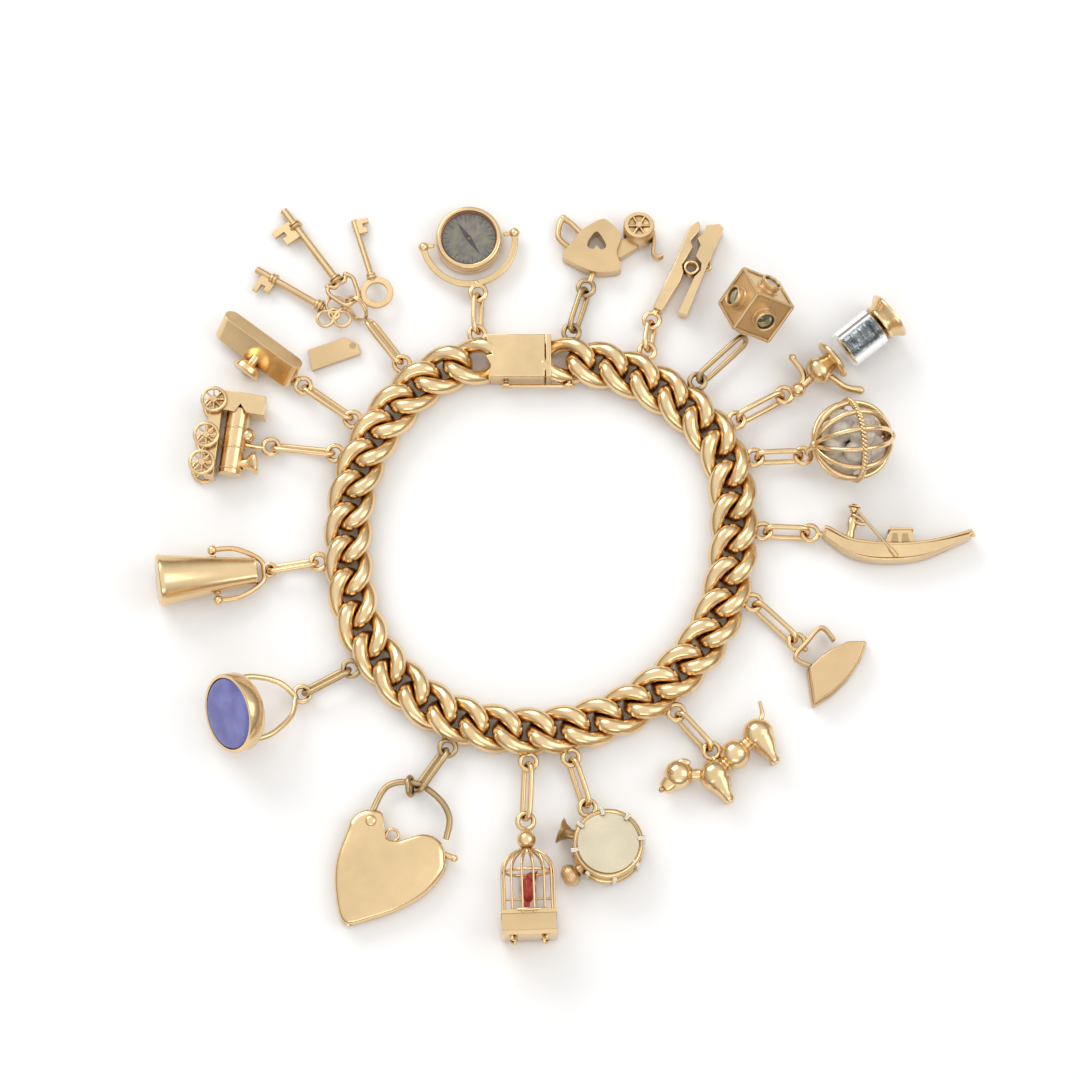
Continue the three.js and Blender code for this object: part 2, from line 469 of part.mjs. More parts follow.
// ---- dog made of balls ----
function dog() {
  const g = group(HANGERS.dog.charm);
  const z = 2.5;
  const limbs = [rod([-5.0, -3.9, z], [0.4, -3.9, z], 0.9), rod([-5.2, -4.0, z], [-7.6, -6.4, z - 0.3], 1.7, 1.0),
    rod([0.4, -4, z], [3.6, -0.7, z], 1.2), rod([3.6, -0.7, z], [7.2, 2.5, z], 1.2)];
  const legs = [1.3, 3.7].flatMap((h) => [rod([0.8, -4.6, h], [2.9, -8.4, h * 0.9], 0.8, 0.55),
    rod([7.6, 2.0, h], [10.0, -2.2, h * 0.9], 0.8, 0.55)]);
  const tail = wire([[7.4, 4.2, z], [7.9, 5.6, z], [7.5, 7.7, z]], 0.4, 6);
  const link = rod([0.3, -1.1, 1.7], [0.9, -2.6, z - 0.2], 0.4);
  piece('dog', GOLD, join(ball(2.3, [-5.2, -3.9, z]), ball(2.5, [0.4, -4, z]), ball(2.35, [3.6, -0.7, z]),
    ball(2.5, [7.2, 2.5, z]), limbs, legs, tail, link, ownRing(1.7)), g);
}

// ---- drum with clips, a bell and a knob ----
function drum() {
  const g = group(HANGERS.drum.charm);
  const [cx, cy] = [3.1, -6.2];
  const shell = turned([[0, 0], [0, 5.0], [0.3, 5.5], [0.9, 5.5], [1.1, 5.0], [4.1, 5.0], [4.3, 5.5], [4.9, 5.5], [5.1, 5.1],
    [4.7, 4.8], [4.7, 0]], [cx, cy - 0.2, 0.45], [cx, cy + 0.2, 5.2], 16);
  const clips = Array.from({ length: 8 }, (_, i) => {
    const a = (i * Math.PI) / 4;
    const [x, y] = [cx + 5.5 * Math.cos(a), cy + 5.5 * Math.sin(a)];
    return block([0.9, 0.8, 4.4], [x, y, 2.7], i * 45);
  });
  const bell = turned([[0, 0], [0, 0.7], [1.6, 0.9], [2.6, 2.0], [2.9, 2.0], [2.9, 0]], [-1.6, -4.6, 2.6], [-5.0, -3.4, 2.4], 12);
  const knob = turned([[0, 0], [0, 0.8], [0.9, 0.8], [1.4, 1.8], [3.2, 1.6], [3.6, 0.9], [3.6, 0]], [-0.8, -9.4, 2.3], [-3.9, -11.4, 2.1], 10);
  piece('drum', GOLD, join(shell, clips, bell, knob, ownRing(1.8), rod([0.4, -1.1, 1.8], [0.9, -2.0, 1.8], 0.45)), g);
}

// ---- birdcage on its side with a coral bird ----
function birdcage() {
  const g = group(HANGERS.birdcage.charm, -88);
  const z = 4.3;
  const r = 4.0;
  const wires = Array.from({ length: 6 }, (_, i) => {
    const turn = (i * Math.PI) / 3;
    const points = [[15.0, r], [8.2, r], [6.0, r * 0.75], [4.4, 0.5]];
    return wire(points.map(([x, q]) => [x, q * Math.cos(turn), z + q * Math.sin(turn)]), 0.32, 4, 4);
  });
  const hoop = rod([7.9, 0, z], [8.6, 0, z], 3.75, 3.85, 14);
  const room = rod([7, 0, z], [9, 0, z], 3.0, 3.0, 14);
  const base = slab([[14.6, -4.2], [18.2, -4.2], [18.2, 4.2], [14.6, 4.2]], 0.5, 8.1);
  const feet = [45, 135, 225, 315].map((a) => ball(0.8, [18.0, 3.4 * Math.cos((a * Math.PI) / 180), z + 3.4 * Math.sin((a * Math.PI) / 180)], [1, 1, 1], 8));
  const finial = ball(1.6, [3.2, 0, z]);
  const stem = wire([[3.2, 0, z], [2.0, 0, z - 0.4], [1.2, 0, 2.2]], 0.4, 6);
  piece('birdcage', GOLD, join(wires, cut(hoop, room), base, feet, finial, stem, ownRing(2.2)), g);
  piece('bird', CORAL, join(ball(1.5, [10.9, 0, z], [1.3, 0.85, 0.85]), ball(0.9, [9.1, 0.5, z]),
    rod([12.0, 0, z], [13.9, -0.6, z], 0.5, 0.3)), g);
}

// ---- heart padlock: body, and the shackle whose rivet it turns on ----
const PADLOCK = { rivet: [-6.9, -4.6], z0: 0.2, z1: 3.2 };
function padlock() {
  const g = group(HANGERS.padlock.charm);
  const { rivet: [rx, ry], z0, z1 } = PADLOCK;
  const outline = [[-4.5, -7.0], ...arc(-7.2, -6.0, 3.3, 50, 175, 6), [-12.2, -10.6], [-12.3, -15.6], [-10.9, -20.4],
    [-6.6, -19.7], [-2.4, -18.2], [1.6, -15.8], [4.4, -12.4], ...arc(1.3, -9.9, 3.3, -20, 110, 6), [-1.4, -7.3], [-2.6, -7.6]];
  const body = slab(outline, z0, z1);
  const shackleHole = rod([rx, ry, 0.8], [rx, ry, 5], 0.95, 0.95, 12);
  const slot = slab([[rx, ry - 0.9], ...arc(rx, ry, 6, 30, 175, 10)], 1.2, 2.8);
  const pin = rod([3.8, -9.4, 1.7], [5.9, -10.2, 1.7], 0.55);
  piece('padlock_heart', GOLD, join(cut(body, shackleHole, slot), pin, ball(0.6, [6.1, -10.3, 1.7])), g);
  const arcWire = wire([[rx, ry, 2.0], [rx + 0.3, ry + 1.8, 2.0], [-4.4, 1.0, 1.9], [-0.2, 1.5, 1.9], [3.6, -1.0, 1.9],
    [5.2, -4.0, 1.9], [4.7, -7.3, 1.9]], 0.45, 12, 5);
  piece('padlock_shackle', GOLD, join(arcWire, rod([rx, ry, 1.1], [rx, ry, 3.5], 0.6)), g);
  piece('padlock_ring', GOLD, ring(flat([-0.9, 1.0, 1.9], 90, 75), 1.45, 1.45, 0.38, 10, 5), g);
}

// ---- seal fob: stone in its oval mount, under two crossing bows ----
function seal() {
  const g = group(HANGERS.seal.charm, 201);
    const mount = turned([[0, 0], [0, 5.2], [0.8, 6.0], [3.2, 6.2], [3.5, 6.0], [3.5, 5.7], [2.6, 5.7], [2.6, 0]],
    [9.0, 0, 5.3], [11.87, 0, 7.3], 20);
  const stone = turned([[0, 0], [0, 5.3], [0.5, 5.3], [0.75, 5.0], [0.75, 0]], [11.38, 0, 6.96], [11.99, 0, 7.4], 20);
  const bow = (s) => wire([[9.6, s * 5.0, 5.7], [6.4, s * 4.8, 4.6], [2.8, s * 2.9, 2.8], [1.3, s * 0.5, 1.8], [1.1, -s * 0.4, 1.7]], 0.5, 12);
  const feet = [-1, 1].map((s) => ball(0.9, [8.8, s * 2.8, 4.9]));
  piece('seal_mount', GOLD, join(mount, bow(1), bow(-1), feet, ownRing(1.7)), g);
  piece('seal_stone', CHALCEDONY, stone, g);
}

// ---- cone swinging in its bail ----
const CONE = { pivot: [8.1, 0, 2.9] };
function cone() {
  const g = group(HANGERS.cone.charm, 188);
  const [px, , pz] = CONE.pivot;
  const drop = 4.1;
  const bail = wire([[px, drop, pz], [px - 3.6, drop - 0.2, 2.5], [1.0, 1.9, 1.8], [0.5, 0, 1.6], [1.0, -1.9, 1.8],
    [px - 3.6, -drop + 0.2, 2.5], [px, -drop, pz]], 0.42, 14, 4);
  const balls = [-1, 1].map((s) => ball(0.8, [px, s * drop, pz]));
  const eye = ring(flat([-0.4, 0, 1.6]), 0.95, 0.95, 0.35, 10, 5);
  piece('cone_bail', GOLD, join(bail, balls, eye), g);
  const body = turned([[0, 0], [0, 2.1], [14.6, 4.0], [15.2, 4.2], [15.6, 4.0], [15.6, 0]], [1.6, 0, 2.3], [17.0, 0, 4.4], 18);
  const reach = rod([px, -3.05, pz], [px, 3.05, pz], 0.55);
  piece('cone', DULL, join(body, reach), g);
}

// ---- locomotive on its side ----
function locomotive() {
  const g = group(HANGERS.locomotive.charm);
  const z = 3.2;
  const boiler = rod([-5.0, 5.6, z], [-6.4, -5.0, z], 1.9, 1.8, 12);
  const cab = slab([[-8.2, 8.6], [-8.0, 5.2], [-1.0, 4.2], [-0.6, 7.2]], 1.0, 5.4);
  const frame = slab([[-9.4, 7.6], [-7.4, 7.8], [-8.8, -5.6], [-10.6, -5.2]], 1.6, 4.8);
  const wheels = [[-8.9, 6.7], [-10.0, 0.9], [-10.6, -3.6]].flatMap(([x, y]) => [rod([x, y, 0.2], [x, y, 1.1], 2.1, 2.1, 12),
    rod([x, y, 5.3], [x, y, 6.2], 2.1, 2.1, 12), rod([x, y, 0.6], [x, y, 5.6], 0.5, 0.5, 6)]);
  const chimney = turned([[0, 0], [0, 0.9], [1.8, 0.9], [3.0, 1.8], [3.6, 1.8], [3.6, 0]], [-5.6, -3.4, z], [-1.6, -3.0, z], 10);
  const dome = ball(1.2, [-3.6, 1.4, z]);
  const dome2 = rod([-5.4, 1.4, z], [-3.6, 1.4, z], 1.1);
  const link = wire([[-1.1, -0.2, 1.7], [-2.2, -0.2, 2.2], [-4.4, 0.0, z]], 0.4, 6);
  piece('locomotive', GOLD, join(boiler, cab, frame, wheels, chimney, dome, dome2, link, ownRing(1.7)), g);
}

// ---- tablet with round ends on a spool foot ----
function tablet() {
  const g = group(HANGERS.tablet.charm, 143);
  // across the hanging line: the bar runs from beside the ring outwards
  const [axisY, axisZ, roll] = [-0.4, 2.7, THREE.MathUtils.degToRad(40)];
  const rolled = new THREE.Matrix4().makeTranslation(0, axisY, axisZ).multiply(new THREE.Matrix4().makeRotationX(roll))
    .multiply(new THREE.Matrix4().makeTranslation(0, -axisY, -axisZ));
  const bar = slab([...arc(3.0, axisY, 1.4, 90, 270, 8), ...arc(15.2, axisY, 1.4, -90, 90, 8)], 0.5, 4.9, [], rolled);
  const stem = rod([8.6, 0.8, 2.6], [8.6, 2.6, 2.5], 0.8);
  const foot = turned([[0, 0], [0, 0.9], [0.8, 2.3], [1.8, 2.3], [1.8, 0]], [8.6, 2.2, 2.5], [8.6, 5.0, 2.4], 12);
  piece('tablet', SATIN, join(bar, stem, foot, ownRing(1.7, 1.2), rod([0.8, -0.2, 1.7], [1.6, -0.4, 1.7], 0.45)), g);
}

// ---- safety catch: a flat bar turning on its pin beside the clasp ----
function safetyCatch() {
  const y = CLASP.y - CLASP.width / 2 - 0.95;
  const disc = (x, r) => rod([x, y - GAP, CHAIN_Z], [x, y + GAP, CHAIN_Z], r, r, 12);
  const hole = (x, r) => rod([x, y - 1, CHAIN_Z], [x, y + 1, CHAIN_Z], r, r, 12);
  const shank = block([CATCH.reach, 2 * GAP, 0.8], [CATCH.x - CATCH.reach / 2, y, CHAIN_Z]);
  const bar = join(disc(CATCH.x, CATCH.eye), shank, disc(CATCH.x - CATCH.reach, CATCH.eye));
  piece('safety_catch', GOLD, cut(bar, hole(CATCH.x, CATCH.pin + 0.12), hole(CATCH.x - CATCH.reach, 0.55)));
}

chain();
clasp();
safetyCatch();
connectors();
for (const charm of [keys, compass, piercedPlate, peg, cube, siphon, pearlBall, gondola, iron, dog, drum, birdcage,
  padlock, seal, cone, locomotive, tablet]) charm();

// The row's origin is under the middle of everything, on the surface it lies on.
const extent = new THREE.Box3().setFromObject(wholeRow, true);
const middle = extent.getCenter(new THREE.Vector3());
bracelet.position.set(-middle.x, -middle.y, -extent.min.z);
export default wholeRow;
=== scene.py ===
# %% [markdown]
# # Charm bracelet
#
# A curb chain in pale yellow gold lies in a ring, closed by a box clasp, with seventeen charms on
# jump rings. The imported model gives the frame. Every sub-part below is a fine mesh that stands for
# one of its nodes.

# %% The frame
import json
import math
import random

import bpy
from mathutils import Matrix, Vector


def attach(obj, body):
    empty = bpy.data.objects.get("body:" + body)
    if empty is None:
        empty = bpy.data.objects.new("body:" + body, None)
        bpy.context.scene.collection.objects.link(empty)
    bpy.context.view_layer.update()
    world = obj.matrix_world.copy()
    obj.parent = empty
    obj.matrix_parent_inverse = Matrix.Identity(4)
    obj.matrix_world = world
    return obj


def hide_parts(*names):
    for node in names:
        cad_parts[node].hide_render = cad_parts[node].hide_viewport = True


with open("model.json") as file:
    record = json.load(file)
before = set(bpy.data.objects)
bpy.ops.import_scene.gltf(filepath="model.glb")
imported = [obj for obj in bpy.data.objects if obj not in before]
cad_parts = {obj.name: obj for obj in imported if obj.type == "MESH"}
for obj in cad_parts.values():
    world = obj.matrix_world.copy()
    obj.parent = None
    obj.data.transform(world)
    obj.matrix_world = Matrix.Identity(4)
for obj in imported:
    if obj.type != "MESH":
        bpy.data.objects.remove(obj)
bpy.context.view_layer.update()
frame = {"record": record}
MM = 0.001
random.seed(7)

# %% [markdown]
# The goldsmith's drawing is in millimetres with its zero in the middle of the chain. The clasp's
# flat top is a mount of the row, so the step from the drawing to the row frame is read from it.

# %% Drawing to row frame
CLASP_TOP = Vector((-3.95, 30.3, 4.6))
CLASP = {"length": 9.5, "width": 7.0, "height": 4.6}
CHAIN_Z = 2.3
mount = next(m for m in frame["record"]["mounts"] if m["name"] == "clasp_top")
DRAWING = Matrix.Translation(Vector(mount["pos_m"])) @ Matrix.Scale(MM, 4) @ Matrix.Translation(-CLASP_TOP)
BODY_OF = {"safety_catch": "catch", "compass_case": "compass_bowl", "compass_dial": "compass_bowl",
           "peg_leg_right": "peg_leg", "cone": "cone", "padlock_heart": "padlock_body"}
print("drawing zero in the row frame", [round(v, 5) for v in DRAWING.translation])

# %% [markdown]
# Materials are small node trees. One function adds a node with its settings and links.


# %% Node helper and colours
def linear(hex_colour):
    """sRGB hex to linear RGBA."""
    parts = [int(hex_colour[i:i + 2], 16) / 255 for i in (1, 3, 5)]
    return [c / 12.92 if c <= 0.04045 else ((c + 0.055) / 1.055) ** 2.4 for c in parts] + [1.0]


def add(tree, kind, values=None, links=None, **settings):
    """Adds a node: settings on it, values on its inputs, and links from other nodes' outputs."""
    node = tree.nodes.new(kind)
    for key, value in settings.items():
        setattr(node, key, value)
    for key, value in (values or {}).items():
        node.inputs[key].default_value = value
    for key, (source, output) in (links or {}).items():
        tree.links.new(source.outputs[output], node.inputs[key])
    return node


def new_material(name):


    """An empty node material and its tree."""
    material = bpy.data.materials.new(name)
    material.use_nodes = True
    material.node_tree.nodes.clear()
    return material, material.node_tree


# %% [markdown]
# Gold here is old and much handled, with a drift of colour from piece to piece. Its own colour
# stays on the open places, and the recesses that ambient occlusion finds get painted shade, a
# darker brown mixed into the colour.


# %% Gold
def gold(name, base_colour, painted_shade, roughness, grain_mm=0.25, bump=0.12, shade_reach_mm=0.9):
    """Cast and polished gold alloy: its own colour on the open places, painted shade in the recesses, with
    fine wear.
    """
    material, tree = new_material(name)
    place = add(tree, "ShaderNodeTexCoord")
    drift = add(tree, "ShaderNodeTexNoise", {"Scale": 1 / (6.0 * MM), "Detail": 3.0},
                {"Vector": (place, "Object")})
    wear = add(tree, "ShaderNodeTexNoise", {"Scale": 1 / (grain_mm * MM), "Detail": 6.0, "Roughness": 0.6},
               {"Vector": (place, "Object")})
    # painted shade: ambient occlusion marks the recesses, which the mix below paints in the darker colour
    shade_ao = add(tree, "ShaderNodeAmbientOcclusion", {"Distance": shade_reach_mm * MM}, samples=8)
    spread = add(tree, "ShaderNodeMapRange", {"From Min": 0.25, "From Max": 0.85, "To Min": 0.0,
                                              "To Max": 1.0},
                 {"Value": (shade_ao, "AO")})
    shift = add(tree, "ShaderNodeMapRange", {"From Min": 0.3, "From Max": 0.7, "To Min": 0.9,
                                             "To Max": 1.06},
                {"Value": (drift, "Fac")})
    tone = add(tree, "ShaderNodeHueSaturation", {"Color": linear(base_colour), "Saturation": 1.0},
               {"Value": (shift, "Result")})
    # a Mix node's sockets share names, so they go by number: 0 factor, 6 and 7 colours, 2 result
    # painted shade: the darker colour goes where the occlusion mask is low, in the recesses
    colour = add(tree, "ShaderNodeMix", {6: linear(painted_shade)}, {0: (spread, "Result"), 7: (tone, "Color")},
                 data_type="RGBA")
    rough = add(tree, "ShaderNodeMapRange", {"From Min": 0.3, "From Max": 0.75, "To Min": roughness * 0.75,
                                             "To Max": roughness * 1.5}, {"Value": (wear, "Fac")})
    dent = add(tree, "ShaderNodeBump", {"Strength": bump, "Distance": 0.03 * MM}, {"Height": (wear, "Fac")})
    metal = add(tree, "ShaderNodeBsdfPrincipled", {"Metallic": 1.0},
                {"Base Color": (colour, 2), "Roughness": (rough, "Result"), "Normal": (dent, "Normal")})
    add(tree, "ShaderNodeOutputMaterial", None, {"Surface": (metal, "BSDF")})
    return material


# bright yellow gold of the chain and clasp
# the second colour of each gold is painted shade, for its recesses
POLISHED = gold("gold_polished", "#edcf9f", "#b2854a", 0.2, bump=0.03)
SATIN = gold("gold_satin", "#e0c294", "#96733f", 0.34, grain_mm=0.15, bump=0.1)  # softer, brushed charms
DULL = gold("gold_dull", "#bfa57b", "#5f4a2b", 0.3, grain_mm=0.2, bump=0.12)  # tarnished rings and cone
SILVERED = gold("silvered_skin", "#ddd2b8", "#a8946c", 0.42, grain_mm=0.4, bump=0.3)  # worn matt drum head
PALE = gold("white_gold", "#e9e2cf", "#8c8062", 0.2)  # the drum's pale clips


# %% [markdown]
# The stones, pearls, coral, glass and the compass card are dielectrics, and each keeps the
# refractive index of the real thing.


# %% Stones and glass
def dielectric(name, base, second, roughness, ior, pattern_mm, clear=0.0, sheen_coat=0.0, under=0.0):
    """A stone, pearl or glass: two colours in a soft cloud, with its own refractive index."""
    material, tree = new_material(name)
    place = add(tree, "ShaderNodeTexCoord")
    cloud = add(tree, "ShaderNodeTexNoise", {"Scale": 1 / (pattern_mm * MM), "Detail": 4.0},
                {"Vector": (place, "Object")})
    ramp = add(tree, "ShaderNodeValToRGB", None, {"Fac": (cloud, "Fac")})
    ramp.color_ramp.elements[0].color = linear(base)
    ramp.color_ramp.elements[1].color = linear(second)
    ramp.color_ramp.elements[0].position = 0.35
    ramp.color_ramp.elements[1].position = 0.65
    body = add(tree, "ShaderNodeBsdfPrincipled",
               {"Roughness": roughness, "IOR": ior, "Transmission Weight": clear, "Coat Weight": sheen_coat,
                "Subsurface Weight": under, "Subsurface Scale": 0.4 * MM}, {"Base Color": (ramp, "Color")})
    add(tree, "ShaderNodeOutputMaterial", None, {"Surface": (body, "BSDF")})
    return material


PEARL = dielectric("pearl_nacre", "#b9b2a6", "#dcd4c6", 0.22, 1.53, 1.5, sheen_coat=0.6, under=0.2)
CORAL = dielectric("red_coral", "#8e1f17", "#b8402e", 0.3, 1.49, 0.8)
CHALCEDONY = dielectric("lavender_chalcedony", "#6264a6", "#7f80be", 0.25, 1.54, 4.0, under=0.3)
GARNET = dielectric("garnet", "#2c0508", "#6a1016", 0.08, 1.75, 1.0, clear=0.3)
OLIVE = dielectric("olive_stone", "#39401f", "#6c6d3a", 0.1, 1.65, 1.0, clear=0.3)
DIAL = dielectric("compass_card", "#857b70", "#aa9c84", 0.45, 1.5, 1.2)
# the copper rim and the foil are made by gold() too, so their second colour is painted shade in the
# recesses
COPPER = gold("copper_rim", "#c98a63", "#6b3f28", 0.3)
INK = dielectric("dark_print", "#2e2a2c", "#3c3436", 0.5, 1.5, 0.5)
FOIL = gold("crumpled_foil", "#d9dcdc", "#6f7478", 0.22, grain_mm=0.9, bump=1.0)
GLASS = dielectric("clear_glass", "#f4faf8", "#ffffff", 0.02, 1.5, 3.0, clear=1.0)

# %% [markdown]
# A sub-part is collected as vertices, faces and a material for each face, then written as one mesh.
# In the charms, a point is (away from the chain, sideways, height) in millimetres from the charm's
# ring, and a profile is a list of (distance along the axis, radius). Sweeps, turned profiles and
# sawn plates are the goldsmith's wire, lathe and saw, and cover nearly everything.

# %% Mesh collector
EDGE_ANGLE, BEVEL_SEGMENTS = math.radians(50), 2  # a fold sharper than this is a real edge


def aim(start, end, roll=0.0):
    """A frame at start whose +X points at end and whose +Z is near to up."""
    x = (Vector(end) - Vector(start)).normalized()
    up = Vector((0, 1, 0)) if abs(x.z) > 0.95 else Vector((0, 0, 1))
    y = up.cross(x).normalized()
    z = x.cross(y)
    turn = Matrix((x, y, z)).transposed().to_4x4()
    return Matrix.Translation(Vector(start)) @ turn @ Matrix.Rotation(math.radians(roll), 4, "X")


def arc(cx, cy, r, start, end, steps):
    """Points on an arc, with its angles in degrees."""
    angles = [math.radians(start + (end - start) * i / steps) for i in range(steps + 1)]
    return [(cx + r * math.cos(a), cy + r * math.sin(a)) for a in angles]


def smooth(points, steps, closed=False):
    """Points along a Catmull-Rom curve."""
    pts = [Vector(p) for p in points]
    n = len(pts)
    spans = n if closed else n - 1
    out = []
    for i in range(spans):
        p = [pts[(i + k) % n] if closed else pts[min(max(i + k, 0), n - 1)] for k in (-1, 0, 1, 2)]
        for j in range(steps):
            t = j / steps
            out.append(0.5 * (2 * p[1] + (p[2] - p[0]) * t + (2 * p[0] - 5 * p[1] + 4 * p[2] - p[3]) * t * t
                              + (3 * p[1] - p[0] - 3 * p[2] + p[3]) * t ** 3))
    if not closed:
        out.append(pts[-1])
    return out


class Metalwork:
    """Collects the solids of one sub-part, in drawing millimetres under a local frame."""

    def __init__(self, local=None):
        self.local = local or Matrix()
        self.verts, self.faces, self.slots, self.soft, self.materials = [], [], [], [], []

    def take(self, verts, faces, material, soft=True, frame_=None):
        """Adds vertices and faces in one material, placed in the row."""
        if material not in self.materials:
            self.materials.append(material)
        slot = self.materials.index(material)
        base = len(self.verts)
        place = self.local @ (frame_ or Matrix())
        self.verts += [place @ Vector(v) for v in verts]
        self.faces += [[base + i for i in face] for face in faces]
        self.slots += [slot] * len(faces)
        self.soft += [soft] * len(faces)

    def sweep(self, points, radius, material, closed=False, sides=14, normals=None):
        """Round wire along points. radius may be a list, one for each point."""
        pts = [Vector(p) for p in points]
        n = len(pts)
        radii = radius if isinstance(radius, (list, tuple)) else [radius] * n
        verts = []
        normal = None
        for i in range(n):
            ahead = pts[(i + 1) % n] if closed else pts[min(i + 1, n - 1)]
            behind = pts[i - 1] if closed else pts[max(i - 1, 0)]
            along = (ahead - behind).normalized()
            if normals:
                normal = normals[i]
            elif normal is None:
                normal = Vector((0, 0, 1)) if abs(along.z) < 0.9 else Vector((1, 0, 0))
            side = along.cross(normal).normalized()
            normal = side.cross(along)
            for k in range(sides):
                a = 2 * math.pi * k / sides
                verts.append(pts[i] + (side * math.cos(a) + normal * math.sin(a)) * radii[i])
        faces = []
        for i in range(n if closed else n - 1):
            j = (i + 1) % n
            for k in range(sides):
                m = (k + 1) % sides
                faces.append([i * sides + k, i * sides + m, j * sides + m, j * sides + k])
        if not closed:
            faces.append(list(range(sides))[::-1])
            faces.append([(n - 1) * sides + k for k in range(sides)])
        self.take(verts, faces, material)

    def ring(self, frame_, half_long, half_wide, wire, material, steps=36, sides=12):
        """A closed ring; straight sides where it is longer than it is wide."""
        straight = half_long - half_wide
        pts = []
        for i in range(steps):
            a = 2 * math.pi * i / steps
            c = math.cos(a)
            reach = half_wide * c + straight * math.tanh(5 * c)
            pts.append(frame_ @ Vector((reach, half_wide * math.sin(a), 0)))
        up = frame_.to_3x3() @ Vector((0, 0, 1))
        self.sweep(pts, wire, material, True, sides, [up] * steps)

    def turned(self, profile, start, end, material, steps=40):
        """A lathe-turned solid: profile is (distance along the axis, radius)."""
        verts = []
        faces = []
        rows = len(profile)
        for i in range(steps):
            a = 2 * math.pi * i / steps
            verts += [(x, r * math.cos(a), r * math.sin(a)) for x, r in profile]
        for i in range(steps):
            j = (i + 1) % steps
            for k in range(rows - 1):
                faces.append([i * rows + k, i * rows + k + 1, j * rows + k + 1, j * rows + k])
        self.take(verts, faces, material, True, aim(start, end))

    def rod(self, start, end, r0, material, r1=None, steps=20):
        """A round bar, tapered where r1 is given."""
        length = (Vector(end) - Vector(start)).length
        r1 = r0 if r1 is None else r1
        self.turned([(0, 0), (0, r0), (length, r1), (length, 0)], start, end, material, steps)

    def ball(self, r, at, material, stretch=(1, 1, 1), steps=20):
        """A ball, or an egg where stretch is given."""
        rows = steps // 2
        verts = [(at[0] + r * stretch[0] * math.sin(math.pi * i / rows) * math.cos(2 * math.pi * k / steps),
                  at[1] + r * stretch[1] * math.sin(math.pi * i / rows) * math.sin(2 * math.pi * k / steps),
                  at[2] - r * stretch[2] * math.cos(math.pi * i / rows))
                 for i in range(rows + 1) for k in range(steps)]
        faces = [[i * steps + k, i * steps + (k + 1) % steps, (i + 1) * steps + (k + 1) % steps,
                  (i + 1) * steps + k]
                 for i in range(rows) for k in range(steps)]
        self.take(verts, faces, material)

    def slab(self, outline, z0, z1, material, frame_=None, hole=None):
        """A sawn plate. A hole has as many points as the outline, in step with it."""
        n = len(outline)
        area = sum(outline[i - 1][0] * outline[i][1] - outline[i][0] * outline[i - 1][1] for i in range(n))
        if area < 0:
            outline = outline[::-1]
            hole = hole[::-1] if hole else None
        low = [(x, y, z0) for x, y in outline]
        high = [(x, y, z1) for x, y in outline]
        walls = [[i, (i + 1) % n, n + (i + 1) % n, n + i] for i in range(n)]
        if not hole:
            self.take(low + high, walls + [list(range(n))[::-1], list(range(n, 2 * n))], material, False,
                      frame_)
            return
        low_in = [(x, y, z0) for x, y in hole]
        high_in = [(x, y, z1) for x, y in hole]
        faces = list(walls)
        for i in range(n):
            j = (i + 1) % n
            faces.append([n + i, n + j, 3 * n + j, 3 * n + i])
            faces.append([j, i, 2 * n + i, 2 * n + j])
            faces.append([2 * n + j, 2 * n + i, 3 * n + i, 3 * n + j])
        self.take(low + high + low_in + high_in, faces, material, False, frame_)

    def finish(self, name, nodes, bevel=0.1, body=None):
        """Writes the mesh, softens its edges, and lets it stand for its CAD nodes."""
        mesh = bpy.data.meshes.new(name)
        mesh.from_pydata([DRAWING @ v for v in self.verts], [], self.faces)
        for material in self.materials:
            mesh.materials.append(material)
        for face, mat in zip(mesh.polygons, self.slots):
            face.material_index = mat
            face.use_smooth = True
        mesh.validate()
        mesh.set_sharp_from_angle(angle=EDGE_ANGLE)
        piece = bpy.data.objects.new(name, mesh)
        bpy.context.scene.collection.objects.link(piece)
        if bevel:
            edge = piece.modifiers.new("worn_edges", "BEVEL")
            edge.width = bevel * MM
            edge.segments = BEVEL_SEGMENTS
            edge.limit_method = "ANGLE"
            edge.angle_limit = EDGE_ANGLE
        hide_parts(*nodes)
        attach(piece, body or BODY_OF.get(nodes[0], "bracelet"))
        print(name, len(mesh.polygons), "faces")
        return piece


def local(at, turn=0.0):
    """A charm's own frame: zero at its ring, +X away from the chain."""
    return Matrix.Translation(Vector((at[0], at[1], 0))) @ Matrix.Rotation(math.radians(turn), 4, "Z")


def flat(at, turn=0.0, tilt=0.0):


    """A frame at a point, turned about the upright and then tipped on its side."""
    return (Matrix.Translation(Vector(at)) @ Matrix.Rotation(math.radians(turn), 4, "Z")
            @ Matrix.Rotation(math.radians(tilt), 4, "X"))


# %% [markdown]
# The chain: thirty-five links of round wire, each bent to a blunt oval and then twisted so that its
# two ends lean opposite ways. That twist is what lets a curb chain lie flat with every link resting
# on the next.

# %% Chain path
# mm, every 30 degrees
LOOP_RADII = [30.5, 32.6, 31.4, 30.3, 32.3, 31.3, 30.2, 31.1, 31.0, 30.1, 29.8, 30.2]
LINKS = 35
RUNS = [4, 4, 5, 4, 5, 4, 5, 4]
CURB_A, CURB_B, CURB_WIRE, CURB_TWIST, CURB_BLUNT = 3.9, 2.65, 1.24, 50, 2.3
END_SHARE = 0.35
knots = [Vector((r * math.cos(i * math.pi / 6), r * math.sin(i * math.pi / 6), CHAIN_Z))
         for i, r in enumerate(LOOP_RADII)]
LOOP = smooth(knots, 120, closed=True)
STEPS = len(LOOP)
reach = [0.0]
for here, there in zip(LOOP, LOOP[1:] + LOOP[:1]):
    reach.append(reach[-1] + (there - here).length)
AROUND = reach[-1]


